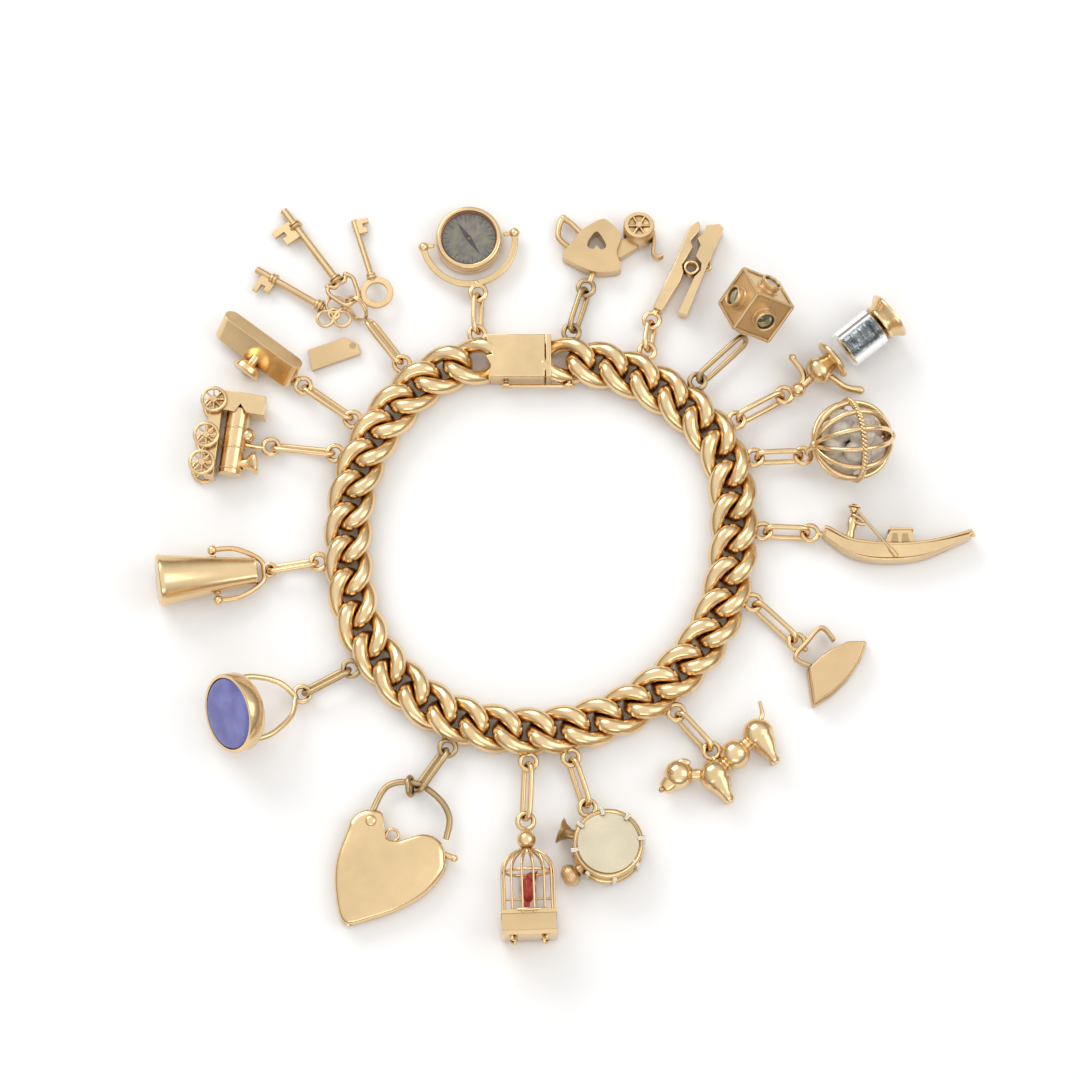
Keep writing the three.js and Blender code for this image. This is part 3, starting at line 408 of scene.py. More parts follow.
def at_length(s):
    """Point and direction at a distance along the loop."""
    s = s % AROUND
    low, high = 0, STEPS
    while high - low > 1:
        middle = (low + high) // 2
        if reach[middle] <= s:
            low = middle
        else:
            high = middle
    t = (s - reach[low]) / (reach[low + 1] - reach[low])
    here, there = LOOP[low], LOOP[(low + 1) % STEPS]
    before, after = LOOP[low - 1], LOOP[(low + 2) % STEPS]
    direction = (there - here) * (1 - abs(t - 0.5)) + (after - before) * 0.25
    return here.lerp(there, t), direction.normalized()


def length_at_x(x):
    """How far round the loop the path is at this x, on the side of the clasp."""
    near = [i for i in range(STEPS) if LOOP[i].y > 20]
    return reach[min(near, key=lambda i: abs(LOOP[i].x - x))]


RIGHT = length_at_x(CLASP_TOP.x + CLASP["length"] / 2 + 1.15)
LEFT = length_at_x(CLASP_TOP.x - CLASP["length"] / 2)
PITCH = (AROUND - (LEFT - RIGHT)) / (LINKS - 1 + 2 * END_SHARE)
print("loop", round(AROUND, 1), "mm, pitch", round(PITCH, 2), "mm")


def link_frame(i):


    """Where link i lies: +X along the chain, +Y outwards."""
    centre, direction = at_length(RIGHT - (END_SHARE + i) * PITCH)
    along = -direction
    outward = Vector((0, 0, 1)).cross(along)
    turn = Matrix((along, outward, Vector((0, 0, 1)))).transposed().to_4x4()
    return Matrix.Translation(centre) @ turn


def curb_link(work, frame_, material, steps=56, sides=20):


    """One blunt oval of wire, twisted along its length."""
    pts, normals = [], []
    for i in range(steps):
        u = 2 * math.pi * i / steps
        x = CURB_A * math.copysign(abs(math.cos(u)) ** (2 / CURB_BLUNT), math.cos(u))
        y = CURB_B * math.copysign(abs(math.sin(u)) ** (2 / CURB_BLUNT), math.sin(u))
        f = math.radians(CURB_TWIST) * x / CURB_A
        pts.append(frame_ @ Vector((x, y * math.cos(f), y * math.sin(f))))
        normals.append(frame_.to_3x3() @ Vector((0, -math.sin(f), math.cos(f))))
    work.sweep(pts, CURB_WIRE, material, True, sides, normals)


# %% [markdown]
# Each charm hangs from a small jump ring soldered to the outside of the chain, and an oval
# connector link joins that ring to the charm's own. Some of these findings are a duller, older
# alloy.

# %% Hanging points
HANGERS = {
    "keys": ((-22.3, 31.4), (-27.6, 37.0, 2.2)), "compass": ((-9.6, 36.6), (-9.9, 41.5, 1.8)),
    "pierced_plate": ((5.2, 36.8), (7.4, 42.4, 1.6)), "peg": ((18.1, 33.9), (17.9, 37.0, 1.5)),
    "cube": ((26.2, 28.2), (33.0, 34.0, 2.4)), "siphon": ((32.8, 20.1), (38.9, 24.6, 1.6)),
    "pearl_ball": ((35.5, 13.9), (41.7, 14.4, 2.2)), "gondola": ((36.4, 1.9), (42.6, 1.9, 1.6)),
    "iron": ((34.9, -11.7), (40.2, -15.7, 1.6)), "dog": ((23.4, -28.0), (26.7, -33.0, 1.7)),
    "drum": ((5.7, -36.6), (7.4, -42.0, 1.8)), "birdcage": ((-1.9, -38.2), (-2.2, -44.2, 2.2)),
    "padlock": ((-15.2, -35.0), (-19.2, -39.6, 1.9)), "seal": ((-31.6, -20.9), (-37.1, -24.0, 1.7)),
    "cone": ((-37.1, -3.1), (-42.9, -4.1, 1.6)), "locomotive": ((-34.7, 16.4), (-42.6, 16.0, 1.7)),
    "tablet": ((-30.6, 22.4), (-37.7, 26.1, 1.7))}
DULL_FINDINGS = {"cube", "pierced_plate", "seal", "padlock"}
JUMP_R, JUMP_WIRE = 1.25, 0.4
CONNECTOR = {"wire": 0.44, "half_wide": 1.25, "tilt": 62, "tuck": 0.35}


LINK_REACH, RING_OUT = 1.3, 4.9  # mm: along a link, and out from its middle, where a jump ring can sit


def hang(wanted):
    """Link number and centre of the jump ring nearest to a wanted place."""
    best = None
    for i in range(LINKS):
        frame_ = link_frame(i)
        here = frame_.inverted() @ Vector((wanted[0], wanted[1], CHAIN_Z))
        along = min(max(here.x, -LINK_REACH), LINK_REACH)
        miss = math.hypot(here.x - along, here.y - RING_OUT)
        if best is None or miss < best[0]:
            best = (miss, i, frame_ @ Vector((along, 4.85 - 0.2 * along ** 2, 0)))
    return best[1], best[2]


FIXED = {name: hang(places[0]) for name, places in HANGERS.items()}

# %% Chain, rings and connectors
first = 0
for number, count in enumerate(RUNS, 1):
    run = Metalwork()
    for i in range(first, first + count):
        curb_link(run, link_frame(i), POLISHED)
    for name, (i, centre) in FIXED.items():
        if first <= i < first + count:
            run.ring(flat(centre), JUMP_R, JUMP_R, JUMP_WIRE, DULL if name in DULL_FINDINGS else POLISHED)
    run.finish(f"curb_run_{number}", [f"chain_run_{number}"], bevel=0)
    first += count

for name, (_, charm) in HANGERS.items():
    start, end = FIXED[name][1], Vector(charm)
    half = (end - start).length / 2 - CONNECTOR["tuck"]
    tilt = 60 if name == "keys" else CONNECTOR["tilt"]
    turn = aim(start, end, tilt)
    turn.translation = (start + end) / 2
    work = Metalwork()
    work.ring(turn, half, CONNECTOR["half_wide"], CONNECTOR["wire"],
              DULL if name in DULL_FINDINGS else POLISHED, 44)
    work.finish(f"connector_{name}", [f"link_{name}"], bevel=0)


def own_ring(work, z, radius=JUMP_R, material=POLISHED):
    """The charm's own ring, at its zero and at height z."""
    work.ring(flat((0, 0, z)), radius, radius, JUMP_WIRE, material)


# %% [markdown]
# The box clasp is folded from sheet: a polished lid with crisp edges, a seam along its long sides,
# a torn-looking notch where it grips the last link, and the thin end plate of the tongue. The catch
# is a flat figure of eight.

# %% Clasp
half_long, half_wide = CLASP["length"] / 2, CLASP["width"] / 2
cx, cy = CLASP_TOP.x, CLASP_TOP.y
top = CLASP_TOP.z
clasp = Metalwork()
left = cx - half_long
outline = [(left + 0.5, cy - half_wide), (cx + half_long, cy - half_wide), (cx + half_long, cy + half_wide),
           (left + 0.1, cy + half_wide), (left + 0.3, cy + 2.0), (left + 1.1, cy + 0.2),
           (left + 0.1, cy + 0.0),
           (left + 0.9, cy - 1.6)]
clasp.slab(outline, 0.0, top, POLISHED)
clasp.slab([(left + 0.8, cy - half_wide - 0.12), (cx + half_long - 0.1, cy - half_wide - 0.12),
            (cx + half_long - 0.1, cy - half_wide + 0.3), (left + 0.8, cy - half_wide + 0.3)], 0.5,
            top - 0.7, POLISHED)
clasp.ball(0.42, (-5.4, cy - half_wide - 0.22, CHAIN_Z), POLISHED)
clasp.finish("clasp_lid", ["clasp_box"], bevel=0.14)
tongue = Metalwork()
plate_x = cx + half_long + 0.15
tongue.slab([(plate_x, cy - half_wide), (plate_x + 0.85, cy - half_wide), (plate_x + 0.85, cy + half_wide),
             (plate_x, cy + half_wide)], 0.0, top, POLISHED)
tongue.slab([(plate_x + 0.8, cy - half_wide + 0.1), (5.2, cy - half_wide + 0.1),
             (5.2, cy - half_wide + 0.8),
             (plate_x + 0.8, cy - half_wide + 0.8)], CHAIN_Z - 0.6, CHAIN_Z + 0.6, POLISHED)
tongue.rod((4.6, cy - half_wide + 0.6, CHAIN_Z), (4.6, cy - half_wide - 1.25, CHAIN_Z), 0.42, POLISHED)
tongue.finish("clasp_tongue_plate", ["clasp_tongue"], bevel=0.08)
catch = Metalwork()
catch_y = cy - half_wide - 0.95
eye_turn = Matrix.Translation(Vector((4.6, catch_y, CHAIN_Z))) @ Matrix.Rotation(math.pi / 2, 4, "X")
tip_turn = Matrix.Translation(Vector((-5.4, catch_y, CHAIN_Z))) @ Matrix.Rotation(math.pi / 2, 4, "X")
catch.ring(eye_turn, 0.72, 0.72, 0.27, POLISHED, 28)
catch.ring(tip_turn, 0.72, 0.72, 0.27, POLISHED, 28)
catch.sweep([(3.8, catch_y, CHAIN_Z), (0, catch_y, CHAIN_Z), (-4.6, catch_y, CHAIN_Z)], 0.3, POLISHED)
catch.finish("safety_figure_eight", ["safety_catch"], bevel=0)


# %% [markdown]
# Three keys and a bare tag share one coiled ring. The keys' bows are bent wire with curled ends.


# %% Keys
def coil(turns, radius, wire_gap, steps=18):
    """Points on a helix about its own middle."""
    return [(radius * math.cos(2 * math.pi * i / steps), radius * math.sin(2 * math.pi * i / steps),
             wire_gap * (i / steps - turns / 2)) for i in range(int(turns * steps) + 1)]


keys_at = HANGERS["keys"][1]
work = Metalwork(local(keys_at))
held = aim((0, 0, 2.2), (-1, 1, 2.2), -62)
held.translation = Vector((-1.7, 1.8, 2.2))
work.sweep([held @ Vector(p) for p in coil(2.0, 2.1, 0.35, 30)], 0.2, POLISHED, sides=12)
work.finish("coiled_ring", ["key_ring"], bevel=0)


def key(name, node, bow, tip, bow_r, shaft_r, bit, style):
    """One key: bow, stem with collars, and a stepped bit."""
    work = Metalwork(local(keys_at) @ aim(bow, tip))
    length = (Vector(tip) - Vector(bow)).length
    at, long_, deep = bit
    if style == "flat":
        rim = arc(0, 0, bow_r + 0.45, 0, 350, 35)
        work.slab(rim, -0.35, 0.35, SATIN, hole=arc(0, 0, bow_r - 0.5, 0, 350, 35))
    elif style == "trefoil":
        for angle in (0, 120, 240):
            a = math.radians(angle + 180)
            centre = (bow_r * 0.75 * math.cos(a), bow_r * 0.75 * math.sin(a), 0)
            work.ring(flat(centre), bow_r * 0.62, bow_r * 0.62, 0.27, SATIN, 28)
        work.ring(flat((0, 0, 0)), bow_r * 0.4, bow_r * 0.4, 0.27, SATIN, 20)
    else:
        for side in (-1, 1):
            scroll = [(bow_r + 0.2, 0, 0), (bow_r * 0.9, side * 0.9, 0), (bow_r * 1.25, side * 1.7, 0),
                      (bow_r * 0.8, side * 2.3, 0), (0.2, side * bow_r, 0), (-bow_r * 0.9, side * 1.2, 0),
                      (-bow_r, 0, 0)]
            work.sweep(smooth(scroll, 8), 0.36, SATIN)
            work.ball(0.5, (bow_r * 1.3, side * 1.75, 0), SATIN)
    work.rod((bow_r, 0, 0), (length, 0, 0), shaft_r, SATIN)
    collar = bow_r + 0.2
    profile = [(0, 0), (0, shaft_r), (0.15, shaft_r * 1.7), (0.45, shaft_r * 1.75), (0.6, shaft_r * 1.2),
               (0.8, shaft_r * 1.55), (1.05, shaft_r * 1.5), (1.3, shaft_r), (1.3, 0)]
    work.turned(profile, (collar, 0, 0), (collar + 1.3, 0, 0), SATIN)
    if style != "flat":
        work.turned(profile, (length - 3.9, 0, 0), (length - 2.6, 0, 0), SATIN)
    s = math.copysign(1, deep)
    steps_ = [(at - long_ / 2, 0), (at + long_ / 2, 0), (at + long_ / 2, deep * 1.3),
              (at + long_ * 0.18, deep * 1.3),
              (at + long_ * 0.18, deep * 0.72), (at - long_ * 0.1, deep * 0.72), (at - long_ * 0.1, deep),
              (at - long_ / 2, deep)]
    work.slab([(x, y - s * 0.1) for x, y in steps_], -0.42, 0.42, SATIN)
    work.finish(name, [node], bevel=0.08)


key("large_key", "key_large", (-3.4, 4.3, 2.6), (-13.7, 18.7, 0.8), 2.0, 0.65, (14.0, 3.2, 3.0), "scroll")
key("trefoil_key", "key_left", (-5.3, 1.0, 1.7), (-17.9, 8.7, 1.0), 2.1, 0.6, (12.2, 2.6, 2.6), "trefoil")
key("small_key", "key_small", (1.5, 4.4, 2.2), (-2.4, 17.0, 0.8), 2.2, 0.5, (11.8, 2.4, -1.8), "flat")
work = Metalwork(local(keys_at))
tag = [(-9.5, -4.8), (-3.6, -2.7), (-1.3, -3.9), (-1.1, -5.4), (-8.7, -8.2)]
work.slab(tag, 0.2, 1.2, SATIN)
work.rod((-2.3, -4.1, 1.1), (-2.3, -4.1, 1.22), 0.55, DULL)
work.finish("bare_tag", ["key_tag"], bevel=0.12)

# %% [markdown]
# The compass: a drum case with a stepped bezel and a domed glass over an aged card, swinging in a
# half-ring yoke. The card has plain ticks and a two-ended needle, and no lettering.

# %% Compass
PIVOT, CASE_R, YOKE_R, COMPASS_Z = 9.0, 5.3, 7.4, 1.9
place = local(HANGERS["compass"][1], 99.5)
work = Metalwork(place)
half_ring = arc(PIVOT, 0, YOKE_R + 0.5, 90, 270, 48) + arc(PIVOT, 0, YOKE_R - 0.5, 270, 90, 48)
work.slab(half_ring, COMPASS_Z - 0.4, COMPASS_Z + 0.4, POLISHED)
for side in (-1, 1):
    work.ball(0.85, (PIVOT, side * YOKE_R, COMPASS_Z), POLISHED)
    work.rod((PIVOT, side * (CASE_R + 0.35), COMPASS_Z), (PIVOT, side * YOKE_R, COMPASS_Z), 0.35, POLISHED)
own_ring(work, COMPASS_Z)
work.ball(0.55, (1.6, 0, COMPASS_Z), POLISHED)
work.finish("yoke", ["compass_yoke"], bevel=0.12)
low, high = (PIVOT, 0, COMPASS_Z - 1.6), (PIVOT, 0, COMPASS_Z + 1.6)
work = Metalwork(place)
work.turned([(0, 0), (0, CASE_R - 0.5), (0.35, CASE_R), (1.2, CASE_R), (1.35, CASE_R - 0.12), (1.5, CASE_R),
             (2.7, CASE_R), (3.05, CASE_R - 0.15), (3.2, CASE_R - 0.4), (3.1, CASE_R - 0.75),
             (2.2, CASE_R - 0.85),
             (1.7, CASE_R - 0.85), (1.7, 0)], low, high, POLISHED, 72)
work.turned([(2.25, CASE_R - 0.75), (2.6, CASE_R - 0.8), (2.45, CASE_R - 1.1), (2.2, CASE_R - 1.1)], low,
            high, COPPER, 72)
work.turned([(2.75, 0), (2.72, 2.0), (2.55, CASE_R - 0.85), (2.5, CASE_R - 0.85), (2.6, 2.0), (2.65, 0)],
            low, high, GLASS, 72)
work.finish("case", ["compass_case"], bevel=0)
work = Metalwork(place)
card_z = COMPASS_Z + 0.55
work.turned([(0, 0), (0, CASE_R - 0.95), (0.35, CASE_R - 0.95), (0.35, 0)], (PIVOT, 0, card_z - 0.35),
            (PIVOT, 0, card_z), DIAL, 60)
for i in range(32):
    a = 2 * math.pi * i / 32
    inner = 3.0 if i % 4 == 0 else 3.6
    turn = Matrix.Translation(Vector((PIVOT, 0, 0))) @ Matrix.Rotation(a, 4, "Z")
    work.slab([(inner, -0.05), (4.1, -0.05), (4.1, 0.05), (inner, 0.05)], card_z, card_z + 0.03, INK, turn)
needle = Matrix.Translation(Vector((PIVOT, 0, 0))) @ Matrix.Rotation(math.radians(25), 4, "Z")
work.slab([(-3.3, 0), (0, -0.45), (3.3, 0), (0, 0.45)], card_z + 0.12, card_z + 0.2, INK, needle)
work.ball(0.35, (PIVOT, 0, card_z + 0.2), POLISHED)
work.finish("card", ["compass_dial"], bevel=0)

# %% [markdown]
# The pierced plate is thick sheet with a heart sawn through it, a lidded wheel on its arm, a curled
# strap and a long open scoop.

# %% Pierced plate
heart = [(1.7, 9.1), (0.4, 7.6), (0.3, 6.5), (1.2, 6.2), (1.7, 6.8), (2.4, 6.1), (3.2, 6.5), (2.9, 7.6)]
work = Metalwork(local(HANGERS["pierced_plate"][1]))
fan = smooth([(-3.8, 5.2, 0), (-2.2, 4.0, 0), (0.6, 2.6, 0), (3.0, 2.3, 0), (5.6, 2.9, 0), (4.9, 5.6, 0),
              (5.6, 8.4, 0),
              (3.8, 10.7, 0), (2.4, 11.2, 0), (-0.6, 9.4, 0), (-2.4, 7.2, 0)], 8, True)
around_heart = smooth([(x, y, 0) for x, y in heart], 11, True)
fan = [(p.x, p.y) for p in fan]
centre = Vector((1.7, 7.3))


def radial(points, n):
    """The outline met by n evenly turned rays from the heart's middle, so two outlines stay in step."""
    out = []
    for i in range(n):
        a = 2 * math.pi * i / n
        ray = Vector((math.cos(a), math.sin(a)))
        best = 0.1
        for p, q in zip(points, points[1:] + points[:1]):
            p, q = Vector(p) - centre, Vector(q) - centre
            cross_ = ray.cross(q - p)
            if abs(cross_) < 1e-9:
                continue
            t = p.cross(q - p) / cross_
            u = p.cross(ray) / cross_
            if t > 0 and -0.001 <= u <= 1.001:
                best = max(best, t)
        out.append((centre.x + ray.x * best, centre.y + ray.y * best))
    return out


work.slab(radial(fan, 96), 0.2, 2.9, SATIN, hole=radial([(p.x, p.y) for p in around_heart], 96))
work.slab([(4.6, 4.8), (5.6, 5.0), (8.2, 6.6), (7.8, 8.6), (4.6, 7.4)], 0.4, 2.4, SATIN)
hub, rim_top = (8.5, 9.2, 0.5), (8.5, 9.9, 4.2)
work.turned([(0, 0), (0, 2.4), (0.3, 2.5), (3.3, 2.5), (3.6, 2.3), (3.6, 1.75), (3.2, 1.65), (3.0, 0)],
            hub, rim_top, SATIN, 48)
wheel = aim(hub, rim_top)
for i in range(6):
    a = math.pi * i / 3
    work.rod(wheel @ Vector((3.3, 0, 0)), wheel @ Vector((3.3, 1.8 * math.cos(a), 1.8 * math.sin(a))),
             0.2, SATIN)
work.rod(wheel @ Vector((2.9, 0, 0)), wheel @ Vector((3.7, 0, 0)), 0.5, SATIN)
strap = smooth([(10.8, 9.4, 1.5), (10.9, 7.6, 1.5), (10.8, 5.8, 1.5), (11.5, 5.1, 1.5), (12.3, 5.4, 1.5)],
               6)
for offset in (-0.6, 0.0, 0.6):
    work.sweep([p + Vector((0, 0, offset)) for p in strap], 0.32, SATIN)
scoop = smooth([(-2.2, 6.4, 1.6), (-4.4, 8.6, 1.4), (-3.9, 11.6, 1.2), (-2.6, 11.2, 1.2),
                (-0.6, 9.0, 1.6)], 8)
work.sweep(scoop, 0.5, SATIN)
work.ball(0.6, (-3.6, 11.9, 1.2), SATIN)
work.rod((0.6, 1.0, 1.6), (1.2, 2.8, 1.6), 0.5, SATIN)
own_ring(work, 1.6, material=DULL)
work.finish("pierced_plate", ["heart_plate"], bevel=0.12)

# %% [markdown]
# The clothes peg has two sprung legs sawn from plate, and a real coil of wire between them. The
# legs are two meshes, because one turns on the coil. The coil is one swept helix, so its turns stay
# evenly spaced.

# %% Peg
PEG_Z = 1.6
coil_at = (6.4, 8.6)
place = local(HANGERS["peg"][1])
left_leg = [(0.2, 1.9), (1.6, 1.2), (4.6, 6.2), (5.1, 7.7), (4.8, 8.9), (5.6, 10.1), (6.7, 12.0),
            (6.3, 13.0), (7.5, 14.4),
            (7.9, 15.4), (7.6, 16.3), (6.2, 15.4), (3.4, 8.6)]
right_leg = [(4.2, 1.0), (5.6, 0.6), (8.4, 7.6), (11.6, 15.0), (11.0, 15.8), (8.9, 15.6), (8.3, 14.2),
             (7.4, 13.4),
             (7.9, 12.3), (7.1, 10.4), (8.0, 9.2), (7.9, 8.0), (6.9, 7.0)]
work = Metalwork(place)
work.slab(left_leg, PEG_Z - 1.2, PEG_Z + 1.2, POLISHED)
spring = [(coil_at[0] + 1.05 * math.cos(a), coil_at[1] + 1.05 * math.sin(a),
           PEG_Z - 1.05 + 2.1 * a / (2 * math.pi * 5))
          for a in [2 * math.pi * 5 * i / 110 for i in range(111)]]
work.sweep(spring, 0.24, POLISHED, sides=10)
work.rod((3.8, 9.2, PEG_Z), (5.2, 8.9, PEG_Z), 0.35, POLISHED)
work.rod((0.2, 0.9, PEG_Z), (1.0, 1.9, PEG_Z), 0.45, POLISHED)
own_ring(work, PEG_Z)
work.finish("peg_leg_with_spring", ["peg_leg_left"], bevel=0.12)
work = Metalwork(place)
work.slab(right_leg, PEG_Z - 1.2, PEG_Z + 1.2, POLISHED)
bend = smooth([(8.4, 9.5, PEG_Z), (9.3, 9.8, PEG_Z), (9.4, 8.7, PEG_Z), (8.4, 8.2, PEG_Z)], 6)
work.sweep(bend, 0.3, POLISHED)
work.finish("peg_other_leg", ["peg_leg_right"], bevel=0.12)

# %% [markdown]
# The cube stands on a corner. Each face is framed by raised strips around a tube collet that holds
# a stone. One loop over the six directions makes every face alike, and an eight-sided profile gives
# the stone flat facets.

# %% Cube
SIDE = 7.3
work = Metalwork(local(HANGERS["cube"][1]) @ Matrix.Translation(Vector((1.3, 4.0, 6.55)))
                 @ Matrix.Rotation(math.radians(80), 4, "Z") @ Matrix.Rotation(math.radians(35.26), 4, "X")
                 @ Matrix.Rotation(math.radians(45), 4, "Y"))
h = SIDE / 2
square = [(-h, -h), (h, -h), (h, h), (-h, h)]
work.slab([(x * 0.96, y * 0.96) for x, y in square], -h * 0.96, h * 0.96, SATIN)
stones = [GARNET, OLIVE, OLIVE, GARNET, GARNET, OLIVE]
for d, stone in zip([(1, 0, 0), (-1, 0, 0), (0, 1, 0), (0, -1, 0), (0, 0, 1), (0, 0, -1)], stones):
    face = aim((0, 0, 0), d)
    inner, outer = face @ Vector((h - 0.3, 0, 0)), face @ Vector((h + 1.3, 0, 0))
    work.turned([(0, 0), (0, 1.9), (0.25, 1.9), (0.35, 1.55), (1.5, 1.75), (1.62, 1.65), (1.5, 1.4),
                 (0.9, 1.35), (0.9, 0)],
                inner, outer, SATIN, 36)
    work.turned([(0.85, 0), (0.85, 1.33), (1.05, 1.36), (1.3, 0.8), (1.32, 0)], inner, outer, stone, 8)
for a in (-1, 1):
    for b in (-1, 1):
        for ends in (((-h, a * h, b * h), (h, a * h, b * h)), ((a * h, -h, b * h), (a * h, h, b * h)),
                     ((a * h, b * h, -h), (a * h, b * h, h))):
            shrunk = [Vector(e) * 0.965 for e in ends]
            work.rod(shrunk[0], shrunk[1], 0.3, SATIN, steps=10)
work.finish("collet_cube", ["cube"], bevel=0.08)

# %% [markdown]
# The siphon is a gold head and a flared foot, with a glass body lined with crumpled silver foil.
# The gold and glass are turned profiles. The foil is a turned sleeve whose points are then pulled
# in and out at random, because crumpling has no order that a profile could hold.

# %% Siphon


def axis(t):
    """A point on the siphon's leaning axis."""
    return (5.4 + 10.8 * t, 3.4 + 8.5 * t, 3.5 + 0.9 * t)


place = local(HANGERS["siphon"][1])
work = Metalwork(place)
work.turned([(0, 0), (0.1, 1.0), (0.5, 1.7), (1.2, 2.2), (1.9, 2.3), (2.7, 2.0), (3.4, 1.5), (3.9, 1.4),
             (4.1, 1.8),
             (4.25, 3.2), (4.5, 3.4), (4.8, 3.35), (4.95, 3.0), (5.2, 2.5), (5.2, 0)], (4.0, 2.4, 3.4),
             axis(1), POLISHED, 48)
work.ball(1.2, (2.2, 0.7, 2.2), POLISHED)
work.sweep(smooth([(2.2, 0.7, 2.2), (3.0, 3.0, 2.6), (1.5, 5.4, 2.8), (1.3, 5.7, 2.8)], 8), 0.5, POLISHED)
work.ball(0.65, (1.3, 5.8, 2.8), POLISHED)
arm = smooth([(5.2, 3.2, 3.0), (7.4, 2.5, 2.8), (9.6, 1.1, 2.2), (12.1, 0.7, 1.6)], 8)
work.sweep(arm, [0.75 - 0.2 * math.sin(math.pi * i / (len(arm) - 1)) for i in range(len(arm))], POLISHED)
work.ball(0.72, (12.1, 0.7, 1.6), POLISHED)
work.sweep(smooth([(2.2, 0.7, 2.2), (3.4, 1.6, 2.5), (4.6, 2.8, 3.0)], 8), 0.6, POLISHED)
work.rod((1.2, 0.2, 1.6), (2.2, 0.7, 2.2), 0.4, POLISHED)
own_ring(work, 1.6)
work.finish("siphon_head_piece", ["siphon_head"], bevel=0)
work = Metalwork(place)
span = (Vector(axis(0.86)) - Vector(axis(0.37))).length
work.turned([(0, 0), (0, 2.8), (0.3, 3.2), (span - 0.3, 3.2), (span, 2.8), (span, 0)], axis(0.37),
            axis(0.86), GLASS, 56)
rows = [(0.15 + (span - 0.3) * i / 26, 2.75 + 0.16 * random.uniform(-1, 1)) for i in range(27)]
start = len(work.verts)
work.turned([(0.1, 0)] + rows + [(span - 0.1, 0)], axis(0.37), axis(0.86), FOIL, 44)
core = place @ Vector(axis(0.6))
for i in range(start, len(work.verts)):
    work.verts[i] = work.verts[i].lerp(core, random.uniform(-0.02, 0.035))
work.finish("glass_body", ["siphon_glass"], bevel=0)
work = Metalwork(place)
work.turned([(0, 0), (0, 2.9), (0.15, 3.05), (0.45, 3.05), (0.7, 2.9), (1.4, 3.3), (2.0, 3.9),
             (2.25, 4.0), (2.5, 3.9),
             (2.45, 3.5), (1.6, 2.6), (1.4, 0)], axis(0.885), axis(1.2), POLISHED, 64)
work.finish("flared_foot", ["siphon_foot"], bevel=0)

# %% [markdown]
# The pearl ball has meridian wires, a rope girdle, and loose grey-white pearls inside. The girdle
# is two wires swept on a helix around a circle, which is how a jeweller twists rope wire. The
# pearls are spread over a sphere by the golden angle, so none sits on its neighbour in a visible
# pattern.

# %% Pearl ball
BALL_R, ball_at = 6.1, Vector((7.5, 0, 6.65))
place = local(HANGERS["pearl_ball"][1], 10)
work = Metalwork(place)
turn = aim(ball_at, (17.5, 0, ball_at.z - 2))
for i in range(12):
    spin = 2 * math.pi * i / 12
    pts = [turn @ (Vector((math.cos(a), math.sin(a) * math.cos(spin),
                           math.sin(a) * math.sin(spin))) * BALL_R)
           for a in [math.pi * k / 26 for k in range(27)]]
    work.sweep(pts, 0.42, POLISHED, sides=10)
for strand in (0, 1):
    pts = []
    for k in range(240):
        a = 2 * math.pi * k / 240
        twist = 30 * a + strand * math.pi
        r = BALL_R + 0.15 + 0.28 * math.cos(twist)
        pts.append(turn @ Vector((0.28 * math.sin(twist), r * math.cos(a), r * math.sin(a))))
    work.sweep(pts, 0.28, POLISHED, True, 8)
work.ball(0.95, turn @ Vector((6.3, 0, 0)), POLISHED)
work.ball(0.8, turn @ Vector((-6.2, 0, 0)), POLISHED)
work.sweep(smooth([turn @ Vector((-6.1, 0, 0)), (0.6, 0, 5.6), (0.5, 0, 3.4), (1.2, 0, 2.2)], 8), 0.42,
           POLISHED)
own_ring(work, 2.2)
work.finish("wire_cage", ["pearl_cage"], bevel=0)
work = Metalwork(place)
for i in range(12):
    up = 1 - 2 * (i + 0.5) / 12
    a = i * 2.39996
    flat_r = math.sqrt(1 - up * up)
    at = ball_at + Vector((flat_r * math.cos(a), flat_r * math.sin(a), up)) * 3.3
    work.ball(2.25 + 0.12 * random.uniform(-1, 1), at, PEARL, (1, 1, 0.96), 24)
work.finish("loose_pearls", ["pearls"], bevel=0)

# %% [markdown]
# The gondola lies on its side. Its hull is a sawn plate with a raised line along each edge, and a
# cabin and a tiny oarsman with a plain head stand on it. Plates and wires are enough here, because
# the real one is nearly flat.

# %% Gondola
work = Metalwork(local(HANGERS["gondola"][1]))
keel = smooth([(1.9, -0.3, 0), (2.6, -0.9, 0), (5.0, -3.0, 0), (8.0, -4.3, 0), (12.0, -4.75, 0),
               (17.0, -4.3, 0),
               (21.5, -2.6, 0), (25.4, -0.5, 0)], 6)
sheer = smooth([(25.4, 0.0, 0), (21.0, -1.2, 0), (16.4, -2.0, 0), (12.0, -2.1, 0), (6.4, -1.4, 0),
                (3.0, 0.4, 0),
                (2.2, 0.6, 0)], 6)
hull = [(p.x, p.y) for p in keel + sheer]
work.slab(hull, 0.5, 3.3, POLISHED)
inner = [(12 + (x - 12) * 0.97, -3.0 + (y + 3.0) * 0.8) for x, y in hull]
work.slab(inner, 0.2, 3.6, POLISHED)
for z in (0.45, 3.35):
    work.sweep([(p.x, p.y, z) for p in sheer], 0.27, POLISHED, sides=10)
    work.sweep([(p.x, p.y + 0.15, z) for p in keel], 0.2, POLISHED, sides=8)
for i in range(9):
    x = 7.0 + i * 1.7
    work.rod((x, -2.2, 3.35), (x, -4.1 + 0.02 * (x - 12) ** 2, 3.35), 0.14, POLISHED, steps=8)
work.slab([(11.4, -2.4), (16.6, -2.4), (15.8, 0.3), (12.6, 0.3)], 0.7, 3.1, POLISHED)
work.slab([(12.2, 0.2), (16.2, 0.2), (15.9, 0.6), (12.5, 0.6)], 0.5, 3.3, POLISHED)
work.slab([(12.6, -1.8), (13.7, -1.8), (13.6, -0.4), (12.9, -0.4)], 3.05, 3.2, DULL)
